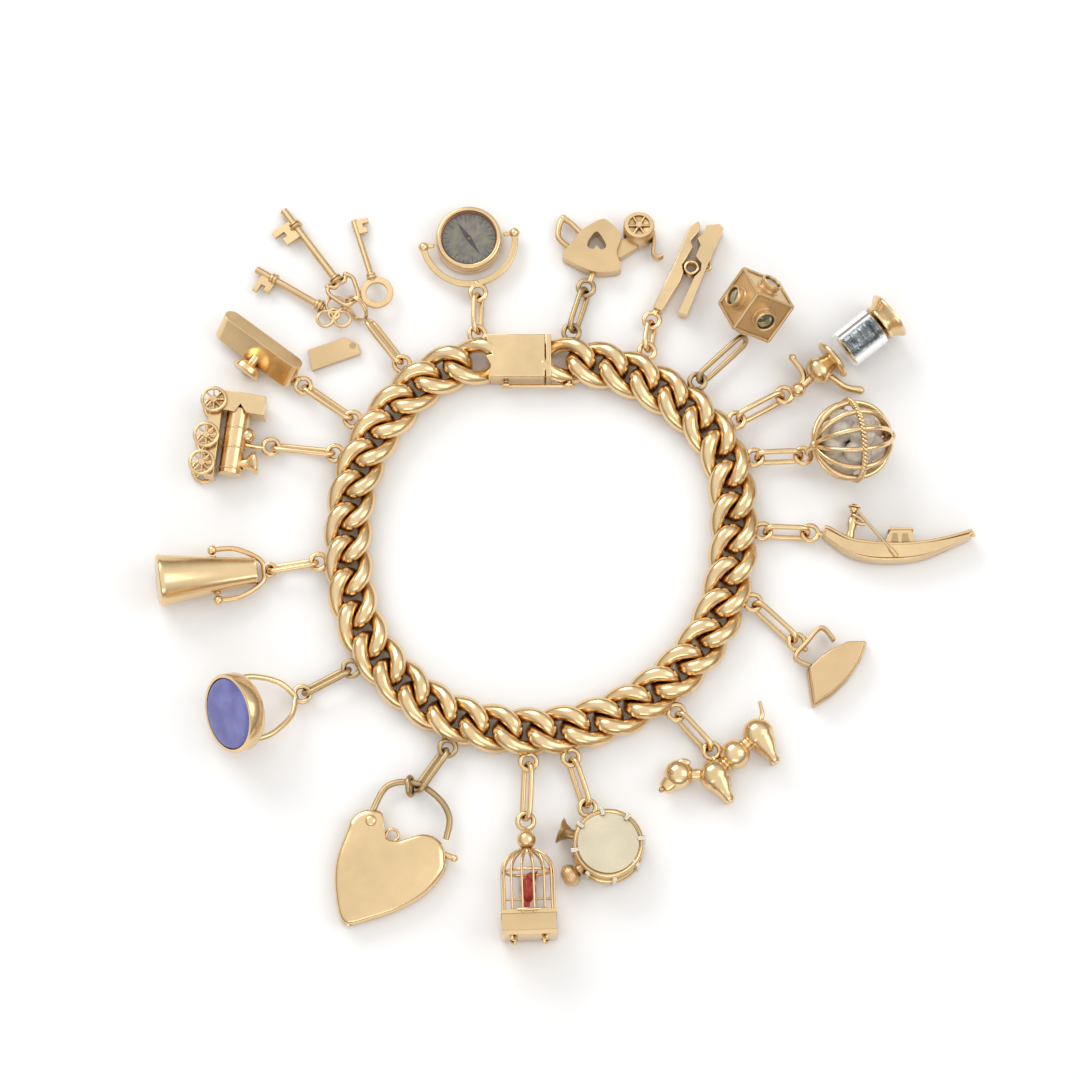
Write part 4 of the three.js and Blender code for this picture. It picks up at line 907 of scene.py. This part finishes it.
work.slab([(14.3, -1.8), (15.5, -1.8), (15.2, -0.4), (14.4, -0.4)], 3.05, 3.2, DULL)
work.turned([(0, 0), (0, 0.55), (1.4, 0.75), (2.2, 0.6), (2.9, 0.85), (4.2, 0.8), (4.8, 0.4), (5.0, 0)],
            (6.0, -1.8, 2.0), (6.9, 3.2, 2.0), POLISHED, 24)
work.ball(0.72, (6.95, 3.75, 2.0), POLISHED)
work.turned([(0, 0), (0, 1.05), (0.12, 1.05), (0.15, 0.6), (0.5, 0.5), (0.5, 0)], (7.0, 4.05, 2.0),
            (7.1, 4.6, 2.0), POLISHED, 24)
work.sweep(smooth([(6.8, 2.8, 2.3), (7.5, 2.4, 2.6), (8.1, 1.9, 2.6)], 6), 0.35, POLISHED)
work.sweep(smooth([(6.6, 2.3, 2.3), (7.4, 1.4, 2.7), (8.6, 1.2, 2.7)], 6), 0.33, POLISHED)
work.rod((7.4, 3.4, 2.6), (12.6, -3.3, 3.7), 0.22, POLISHED)
work.rod((12.4, -3.0, 3.68), (13.4, -4.3, 3.7), 0.38, POLISHED)
work.slab([(24.4, -0.9), (26.0, -0.6), (25.7, 0.2), (24.9, 0.5)], 1.5, 2.3, POLISHED)
work.rod((1.1, 0, 1.6), (2.6, -0.2, 1.6), 0.4, POLISHED)
own_ring(work, 1.6)
work.finish("gondola_and_oarsman", ["gondola"], bevel=0.1)

# %% [markdown]
# The flat iron lies with its sole to the front. A pointed plate over a slightly smaller block gives
# the step round the sole, and four wires side by side make the ribbed strap of the handle.

# %% Flat iron
work = Metalwork(local(HANGERS["iron"][1]))
sole = [(1.5, -4.4), (2.3, -10.4), (5.2, -8.6), (7.8, -6.1), (9.9, -3.0), (11.1, 0.2), (8.1, 0.1),
        (5.3, -1.2),
        (3.2, -2.7)]
work.slab(sole, 0.2, 1.1, SATIN)
middle = Vector((5.6, -3.9))
work.slab([(middle.x + (x - middle.x) * 0.92, middle.y + (y - middle.y) * 0.92) for x, y in sole], 1.1,
          3.4, SATIN)
handle = smooth([(2.2, -3.9, 1.7), (-0.3, -2.5, 1.7), (1.6, 0.0, 1.7), (3.9, 2.3, 1.7), (5.9, 0.2, 1.7)], 8)
for z in (-0.55, -0.2, 0.15, 0.5):
    work.sweep([p + Vector((0, 0, z)) for p in handle], 0.33, SATIN, sides=10)
work.rod((0.9, -0.8, 1.7), (1.6, -1.4, 1.7), 0.4, SATIN)
own_ring(work, 1.7)
work.finish("iron_body", ["flat_iron"], bevel=0.18)

# %% [markdown]
# The dog is a row of polished balls with cast legs and a snub muzzle. Each thigh is a turned
# profile that starts wide inside its ball, so the two run into each other as a casting does.

# %% Dog
work = Metalwork(local(HANGERS["dog"][1]))
z = 2.5
for r, at in ((2.3, (-5.2, -3.9, z)), (2.5, (0.4, -4.0, z)), (2.35, (3.6, -0.7, z)), (2.5, (7.2, 2.5, z))):
    work.ball(r, at, POLISHED, steps=36)
work.turned([(0, 0), (0, 1.2), (0.5, 0.95), (2.6, 0.9), (3.0, 1.3), (3.4, 1.3), (3.4, 0)],
            (-4.0, -3.9, z), (0.4, -3.9, z), POLISHED, 28)
work.turned([(0, 0), (0, 1.8), (1.4, 1.5), (2.6, 1.25), (3.0, 1.0), (3.2, 0.4), (3.2, 0)],
            (-5.4, -4.1, z), (-8.0, -6.8, z - 0.2),
            POLISHED, 28)
work.ball(0.45, (-7.9, -6.4, z + 0.7), DULL)
work.ball(0.36, (-6.3, -3.9, z + 1.9), DULL)
for side in (-1, 1):
    work.ball(0.8, (-4.4, -2.2, z + side * 1.2), POLISHED, (1.3, 0.8, 0.45))
for a, b in (((0.4, -4.0, z), (3.6, -0.7, z)), ((3.6, -0.7, z), (7.2, 2.5, z))):
    work.rod(a, b, 1.15, POLISHED)
for hz in (1.3, 3.7):
    work.turned([(0, 0), (0, 1.9), (1.2, 1.8), (2.6, 1.0), (3.4, 0.7), (3.9, 0.85), (4.2, 0.6), (4.2, 0)],
                (0.8, -4.6, z + (hz - z) * 0.35), (2.9, -8.4, hz * 0.9),
                POLISHED, 20)
    work.turned([(0, 0), (0, 2.0), (1.5, 1.8), (3.2, 0.9), (4.0, 0.7), (4.5, 0.85), (4.8, 0.6), (4.8, 0)],
                (7.6, 2.0, z + (hz - z) * 0.35), (10.0, -2.2, hz * 0.9),
                POLISHED, 20)
tail = smooth([(7.4, 4.2, z), (7.9, 5.6, z), (7.5, 7.7, z)], 8)
work.sweep(tail, [0.5 - 0.25 * i / (len(tail) - 1) for i in range(len(tail))], POLISHED)
work.rod((0.3, -1.1, 1.7), (0.9, -2.6, z - 0.2), 0.4, POLISHED)
own_ring(work, 1.7)
work.finish("ball_dog", ["dog"], bevel=0)

# %% [markdown]
# The drum has two rounded hoops, eight pale clips down its wall, a trumpet bell and a rough gold
# knob. The hoops are part of one turned profile. The skin is a thin disc of its own, because its
# finish is a worn matt silver-gold.

# %% Drum
work = Metalwork(local(HANGERS["drum"][1]))
dx, dy = 3.1, -6.2
low, high = (dx, dy - 0.2, 0.45), (dx, dy + 0.2, 5.2)
work.turned([(0, 0), (0, 5.0), (0.15, 5.4), (0.45, 5.5), (0.8, 5.4), (1.0, 5.0), (3.9, 5.0), (4.1, 5.4),
             (4.4, 5.5),
             (4.7, 5.4), (4.85, 5.1), (4.6, 4.85), (4.55, 4.6), (4.55, 0)], low, high, POLISHED, 72)
along = (Vector(high) - Vector(low)).normalized()
work.rod(Vector(low) + along * 4.4, Vector(low) + along * 4.72, 4.75, SILVERED, steps=72)
for i in range(8):
    a = math.radians(45 * i + 10)
    out = Matrix.Translation(Vector((dx, dy, 0))) @ Matrix.Rotation(a, 4, "Z")
    work.slab([(5.0, -0.38), (5.85, -0.3), (5.85, 0.3), (5.0, 0.38)], 0.6, 4.9, PALE, out)
    work.slab([(4.6, -0.3), (5.8, -0.35), (5.8, 0.35), (4.6, 0.3)], 4.85, 5.35, PALE, out)
work.turned([(0, 0), (0, 0.7), (1.2, 0.8), (2.2, 1.4), (2.7, 2.0), (2.9, 2.1), (2.8, 1.8), (2.0, 0.9),
             (1.6, 0)],
            (-1.6, -4.6, 2.6), (-5.0, -3.4, 2.4), DULL, 40)
knob = [(0, 0), (0, 0.8),
        (0.9,
         0.8)] + [(1.2 + 0.16 * i, 1.25 + 0.55 * math.sin(i * 0.24) + 0.1 * (i % 2)) for i in range(14)]
work.turned(knob + [(3.6, 0.7), (3.6, 0)], (-0.8, -9.4, 2.3), (-3.9, -11.4, 2.1), SATIN, 18)
work.rod((0.4, -1.1, 1.8), (0.9, -2.0, 1.8), 0.45, POLISHED)
own_ring(work, 1.8)
work.finish("drum_with_clips", ["drum"], bevel=0.08)

# %% [markdown]
# The birdcage lies on its side, with a ball on top, wires that bend over square shoulders, a box
# base on scroll feet, and a red coral bird. Each wire is one swept path, repeated round the axis.

# %% Birdcage
work = Metalwork(local(HANGERS["birdcage"][1], -88))
z, r = 4.3, 4.0
for i in range(14):
    a = 2 * math.pi * i / 14
    pts = [(15.0, r), (11.5, r), (8.2, r), (6.9, r * 0.93), (5.7, r * 0.72), (4.9, r * 0.36),
           (4.6, r * 0.08)]
    work.sweep(smooth([(x, q * math.cos(a), z + q * math.sin(a)) for x, q in pts], 6), 0.17, POLISHED,
               sides=8)
for x, rr in ((8.2, 3.6), (14.5, 4.05)):
    hoop = aim((x, 0, z), (x + 1, 0, z)) @ Matrix.Rotation(math.pi / 2, 4, "Y")
    work.ring(hoop, rr, rr, 0.26, POLISHED, 56)
work.slab([(14.7, -4.15), (18.1, -4.15), (18.1, 4.15), (14.7, 4.15)], 0.6, 8.0, SATIN)
for x in (14.75, 18.0):
    work.slab([(x - 0.3, -4.3), (x + 0.3, -4.3), (x + 0.3, 4.3), (x - 0.3, 4.3)], 0.45, 8.15, POLISHED)
for i in range(4):
    a = math.radians(45 + 90 * i)
    out = Vector((0, math.cos(a), math.sin(a)))
    base = Vector((17.6, 0, z))
    foot = [base + out * 3.6, base + out * 3.9 + Vector((0.8, 0, 0)),
            base + out * 3.3 + Vector((1.2, 0, 0)),
            base + out * 3.0 + Vector((0.7, 0, 0))]
    work.sweep(smooth(foot, 6), 0.32, POLISHED, sides=10)
work.turned([(0, 0), (0, 0.5), (0.6, 0.9), (0.9, 0.5), (1.0, 0)], (5.2, 0, z), (4.2, 0, z), POLISHED, 28)
work.ball(1.5, (3.2, 0, z), POLISHED, steps=32)
work.rod((12.3, -3.8, z - 0.8), (12.3, 3.8, z - 0.8), 0.18, POLISHED)
work.sweep(smooth([(3.2, 0, z), (2.0, 0, z - 0.4), (1.2, 0, 2.2)], 6), 0.4, POLISHED)
own_ring(work, 2.2)
work.finish("cage", ["birdcage"], bevel=0.08)
work = Metalwork(local(HANGERS["birdcage"][1], -88))
work.ball(1.5, (10.9, 0, z), CORAL, (1.35, 0.8, 0.8), 28)
work.ball(0.85, (9.1, 0.5, z), CORAL, steps=24)
work.turned([(0, 0), (0, 0.3), (0.7, 0.02), (0.7, 0)], (8.6, 1.1, z), (8.1, 1.6, z), CORAL, 12)
work.slab([(12.2, 0.5), (13.9, 0.1), (13.9, -0.9), (12.2, -0.5)], z - 0.25, z + 0.25, CORAL)
work.finish("coral_bird", ["bird"], bevel=0.1)

# %% [markdown]
# The heart padlock is a pillowed heart with a round-wire shackle, which turns on a rivet in one
# lobe. The heart is lofted from its own outline, drawn smaller near the top and bottom, which
# rounds its edge more softly than a bevel can. Its face is left bare.

# %% Padlock
place = local(HANGERS["padlock"][1])
RIVET = (-6.9, -4.6)
lobes = [(-4.5, -7.0, 0)] + [(x, y, 0) for x, y in arc(-7.2, -6.0, 3.3, 50, 175, 6)] + [
    (-12.2, -10.6, 0), (-12.3, -15.6, 0), (-10.9, -20.4, 0), (-6.6, -19.7, 0), (-2.4, -18.2, 0),
    (1.6, -15.8, 0),
    (4.4, -12.4, 0)] + [
    (x, y, 0) for x, y in arc(1.3, -9.9, 3.3, -5, 110, 5)] + [(-1.4, -7.3, 0), (-2.6, -7.6, 0)]
work = Metalwork(place)
heart_line = [Vector((p.x, p.y)) for p in smooth(lobes, 5, True)]
middle = Vector((-4.2, -11.8))
layers = [(0.2, 0.94), (0.5, 0.99), (0.9, 1.0), (1.0, 0.985), (2.3, 0.985), (2.4, 1.0), (2.75, 0.985),
          (3.0, 0.95), (3.12, 0.88),
          (3.2, 0.7), (3.2, 0.35)]
verts, faces = [], []
n = len(heart_line)
for height, share in layers:
    verts += [(middle.x + (p.x - middle.x) * share, middle.y + (p.y - middle.y) * share,
               height) for p in heart_line]
for k in range(len(layers) - 1):
    for i in range(n):
        j = (i + 1) % n
        faces.append([k * n + i, k * n + j, (k + 1) * n + j, (k + 1) * n + i])
faces.append(list(range(n))[::-1])
faces.append([(len(layers) - 1) * n + i for i in range(n)])
area = sum(heart_line[i - 1].x * heart_line[i].y - heart_line[i].x * heart_line[i - 1].y for i in range(n))
if area < 0:
    faces = [face[::-1] for face in faces]
work.take(verts, faces, POLISHED)
work.rod((3.8, -9.4, 1.7), (5.9, -10.2, 1.7), 0.5, POLISHED)
work.ball(0.6, (6.0, -10.25, 1.7), POLISHED)
work.ring(Matrix.Translation((-3.6, -6.7, 1.7)), 0.95, 0.95, 0.24, POLISHED)
work.finish("padlock_body_halves", ["padlock_heart"], bevel=0)
work = Metalwork(place)
rx, ry = RIVET
shackle = smooth([(rx, ry, 2.6), (rx + 0.3, ry + 1.8, 2.1), (-4.4, 1.0, 1.9), (-0.2, 1.5, 1.9),
                  (3.6, -1.0, 1.9), (5.2, -4.0, 1.9),
                  (4.7, -7.3, 1.9)], 10)
work.sweep(shackle, 0.5, DULL, sides=18)
work.turned([(0, 0), (0, 0.6), (2.1, 0.6), (2.2, 0.85), (2.35, 0.75), (2.45, 0.3), (2.45, 0)],
            (rx, ry, 1.1), (rx, ry, 3.5), POLISHED, 28)
work.finish("shackle", ["padlock_shackle"], bevel=0)
work = Metalwork(place)
work.ring(flat((-0.9, 1.0, 1.9), 90, 75), 1.45, 1.45, 0.38, DULL)
work.finish("lug_ring", ["padlock_ring"], bevel=0)

# %% [markdown]
# The seal holds a stone in a stepped, turned mount, under two bowed wires. The stone is a shallow
# turned disc with a rounded edge, so the light runs round its rim.

# %% Seal
place = local(HANGERS["seal"][1], 201)
work = Metalwork(place)
work.turned([(0, 0), (0, 4.9), (0.3, 5.4), (0.8, 5.9), (1.3, 6.1), (3.2, 6.2), (3.45, 6.1), (3.5, 5.9),
             (3.45, 5.65), (3.2, 5.6),
             (2.6, 5.6), (2.6, 0)], (9.0, 0, 5.3), (11.87, 0, 7.3), POLISHED, 80)
for s in (-1, 1):
    bow = [(9.6, 5.0 * s, 5.7), (6.4, 4.8 * s, 4.6), (2.8, 2.9 * s, 2.8), (1.3, 0.5 * s, 1.8),
           (1.1, -0.4 * s, 1.7)]
    work.sweep(smooth(bow, 10), 0.46, POLISHED)
    foot = [(9.2, 2.8 * s, 5.2), (8.3, 3.2 * s, 4.7), (8.0, 2.4 * s, 4.4), (8.7, 2.1 * s, 4.7)]
    work.sweep(smooth(foot, 8), 0.5, POLISHED)
own_ring(work, 1.7)
work.finish("seal_mount_piece", ["seal_mount"], bevel=0)
work = Metalwork(place)
work.turned([(0, 0), (0, 5.5), (0.45, 5.5), (0.62, 5.3), (0.75, 4.8), (0.8, 0)], (11.38, 0, 6.96),
            (11.99, 0, 7.4), CHALCEDONY, 80)
work.finish("oval_stone", ["seal_stone"], bevel=0)

# %% [markdown]
# The cone swings in a bail of its own, so it is a separate mesh from the bail. It is one turned
# profile with rounded rims, which catch a bright line at both ends.

# %% Cone
place = local(HANGERS["cone"][1], 188)
work = Metalwork(place)
bail = [(8.1, 4.1, 2.9), (4.5, 3.9, 2.5), (1.0, 1.9, 1.8), (0.5, 0, 1.6), (1.0, -1.9, 1.8),
        (4.5, -3.9, 2.5), (8.1, -4.1, 2.9)]
work.sweep(smooth(bail, 8), 0.42, POLISHED)
for s in (-1, 1):
    work.ball(0.8, (8.1, 4.1 * s, 2.9), POLISHED)
work.ring(flat((-0.4, 0, 1.6), 0), 0.95, 0.95, 0.35, POLISHED)
work.finish("cone_bail_wire", ["cone_bail"], bevel=0)
work = Metalwork(place)
work.turned([(0, 0), (0, 1.9), (0.2, 2.1), (0.6, 2.05), (14.6, 3.98), (15.2, 4.15), (15.5, 4.0),
             (15.6, 3.8), (15.6, 0)], (1.6, 0, 2.3), (17.0, 0, 4.4), POLISHED, 64)
work.rod((8.1, -3.05, 2.9), (8.1, 3.05, 2.9), 0.55, POLISHED)
work.finish("tapered_cone", ["cone"], bevel=0)

# %% [markdown]
# The locomotive lies on its side. Rods, plates and turned parts build it up as the goldsmith would,
# and each wheel is a ring with a hub and eight spokes.

# %% Locomotive
work = Metalwork(local(HANGERS["locomotive"][1]))
z = 3.2
work.rod((-5.0, 5.6, z), (-6.4, -5.0, z), 1.9, POLISHED, 1.8, 40)
for t in (0.3, 0.6, 0.92):
    hoop = aim((-5 - 1.4 * t, 5.6 - 10.6 * t, z), (-6.4, -5.0, z)) @ Matrix.Rotation(math.pi / 2, 4, "Y")
    work.ring(hoop, 1.86, 1.86, 0.14, POLISHED, 36, 8)
work.slab([(-8.2, 8.6), (-8.0, 5.2), (-5.6, 4.8), (-4.7, 6.1), (-3.8, 4.6), (-1.0, 4.2), (-0.6, 7.2)],
          1.0, 5.4, POLISHED)
work.slab([(-9.4, 7.6), (-7.4, 7.8), (-8.8, -5.6), (-10.6, -5.2)], 1.6, 4.8, POLISHED)
for x, y in ((-8.9, 6.7), (-10.0, 0.9), (-10.6, -3.6)):
    for hz in (0.65, 5.75):
        hub = Vector((x, y, hz))
        work.ring(Matrix.Translation(hub), 1.85, 1.85, 0.28, POLISHED, 40)
        work.rod(hub - Vector((0, 0, 0.4)), hub + Vector((0, 0, 0.4)), 0.55, POLISHED)
        for k in range(8):
            a = math.pi * k / 4
            work.rod(hub, hub + Vector((math.cos(a), math.sin(a), 0)) * 1.8, 0.15, POLISHED, steps=8)
    work.rod((x, y, 0.6), (x, y, 5.8), 0.45, POLISHED)
work.turned([(0, 0), (0, 0.9), (1.8, 0.9), (2.2, 1.2), (3.0, 1.8), (3.3, 1.9), (3.6, 1.8), (3.5, 1.4),
             (2.9, 0.8), (2.9, 0)],
            (-5.6, -3.4, z), (-1.6, -3.0, z), POLISHED, 40)
work.rod((-5.4, 1.4, z), (-3.6, 1.4, z), 1.1, POLISHED)
work.ball(1.2, (-3.6, 1.4, z), POLISHED)
work.sweep(smooth([(-1.1, -0.2, 1.7), (-2.2, -0.2, 2.2), (-4.4, 0, z)], 6), 0.4, POLISHED)
own_ring(work, 1.7)
work.finish("engine", ["locomotive"], bevel=0.1)

# %% [markdown]
# The tablet is a round-ended bar on a spool foot. The bar is rolled about its long axis, so that it
# rests on an edge and shows two of its faces.

# %% Tablet
work = Metalwork(local(HANGERS["tablet"][1], 143))
bar = [tuple(p)[:2] for p in arc(3.0, -0.4, 1.4, 90, 270, 10)] + [tuple(p)[:2] for p in arc(15.2, -0.4,
                                                                                            1.4, -90, 90,
                                                                                            10)]
rolled = Matrix.Translation((0, -0.4, 2.7)) @ Matrix.Rotation(math.radians(40), 4,
                                                              "X") @ Matrix.Translation((0, 0.4, -2.7))
work.slab(bar, 0.5, 4.9, POLISHED, rolled)
work.rod(rolled @ Vector((9.1, -1.75, 2.9)), rolled @ Vector((9.1, -1.86, 2.9)), 0.35, DULL, steps=16)
work.rod((8.6, 0.8, 2.6), (8.6, 2.6, 2.5), 0.8, POLISHED)
work.turned([(0, 0), (0, 0.9), (0.4, 1.6), (0.8, 2.3), (1.6, 2.4), (1.8, 2.2), (1.8, 0)], (8.6, 2.2, 2.5),
            (8.6, 5.0, 2.4), POLISHED, 40)
work.rod((0.8, -0.2, 1.7), (1.6, -0.4, 1.7), 0.45, POLISHED)
own_ring(work, 1.7, 1.2)
work.finish("slotted_bar", ["tablet"], bevel=0.2)

# %% [markdown]
# A pale floor keeps the shadows soft. A plane is enough, because only its colour and shadows are
# seen.

# %% Floor
row_middle = Vector((-3.8 * MM, 4.2 * MM, 2 * MM))
FLOOR_SIDE, PAPER_GREY, PAPER_ROUGHNESS = 4, 0.9, 0.8
bpy.ops.mesh.primitive_plane_add(size=FLOOR_SIDE)
floor = bpy.context.object
floor.name = "white_floor"
paper, paper_tree = new_material("white_paper")
paper_body = add(paper_tree, "ShaderNodeBsdfPrincipled",
                 {"Base Color": (PAPER_GREY, PAPER_GREY, PAPER_GREY, 1), "Roughness": PAPER_ROUGHNESS})
add(paper_tree, "ShaderNodeOutputMaterial", None, {"Surface": (paper_body, "BSDF")})
floor.data.materials.append(paper)
print("floor", FLOOR_SIDE, "m")

# %% [markdown]
# Polished metal shows what is around it. Small hard lamps would burn white dots into it, so the
# lamps are broad, and the strongest stands behind, where the flat tops don't mirror it into the
# camera.

# %% Lamps
LAMPS = {  # where each stands and its two sides in metres, and its power in watts
    "key": ((-0.4, 0.6, 0.5), (0.6, 0.4), 2.6),
    "fill": ((0.5, 0.0, 0.5), (0.45, 0.45), 0.9),
    "front": ((0.0, -0.6, 0.35), (0.5, 0.15), 0.5)}
for name, (at, sides, watts) in LAMPS.items():
    lamp = bpy.data.lights.new(name, "AREA")
    lamp.shape, lamp.energy = "RECTANGLE", watts
    lamp.size, lamp.size_y = sides
    holder = bpy.data.objects.new(name, lamp)
    bpy.context.scene.collection.objects.link(holder)
    holder.location = at
    holder.rotation_euler = (row_middle - Vector(at)).to_track_quat("-Z", "Y").to_euler()
print("lamps", list(LAMPS))

# %% [markdown]
# The sky is white overhead and brown at the horizon, so that a round wire runs from cream on top to
# brown at its sides, as gold does in a pale room.

# %% Sky
HORIZON, OVERHEAD, OVERHEAD_FROM = (0.2, 0.15, 0.1, 1), (1, 1, 1, 1), 0.75
world = bpy.data.worlds.new("studio")
bpy.context.scene.world = world
world.use_nodes = True
sky = world.node_tree
sky.nodes.clear()
coords = add(sky, "ShaderNodeTexCoord")
split = add(sky, "ShaderNodeSeparateXYZ", None, {0: (coords, "Generated")})
ramp = add(sky, "ShaderNodeValToRGB", None, {0: (split, "Z")})
ramp.color_ramp.elements[0].position, ramp.color_ramp.elements[0].color = 0.0, HORIZON
ramp.color_ramp.elements[1].position, ramp.color_ramp.elements[1].color = OVERHEAD_FROM, OVERHEAD
back = add(sky, "ShaderNodeBackground", {"Strength": 1.0}, {"Color": (ramp, 0)})
add(sky, "ShaderNodeOutputWorld", None, {"Surface": (back, 0)})
print("sky turns white", OVERHEAD_FROM, "of the way up")

# %% [markdown]
# A long lens from high in front keeps the row's proportions true. The Standard view leaves the
# whites white.

# %% Camera
ELEVATION, DISTANCE, LENS = math.radians(76), 0.6, 127
lens = bpy.data.cameras.new("front_above")
lens.lens, lens.clip_start = LENS, 0.01
camera = bpy.data.objects.new("front_above", lens)
bpy.context.scene.collection.objects.link(camera)
camera.location = row_middle + Vector((0, -math.cos(ELEVATION), math.sin(ELEVATION))) * DISTANCE
camera.rotation_euler = (row_middle - camera.location).to_track_quat("-Z", "Y").to_euler()
bpy.context.scene.camera = camera
bpy.context.scene.view_settings.view_transform = "Standard"
print("camera", [round(v, 3) for v in camera.location])
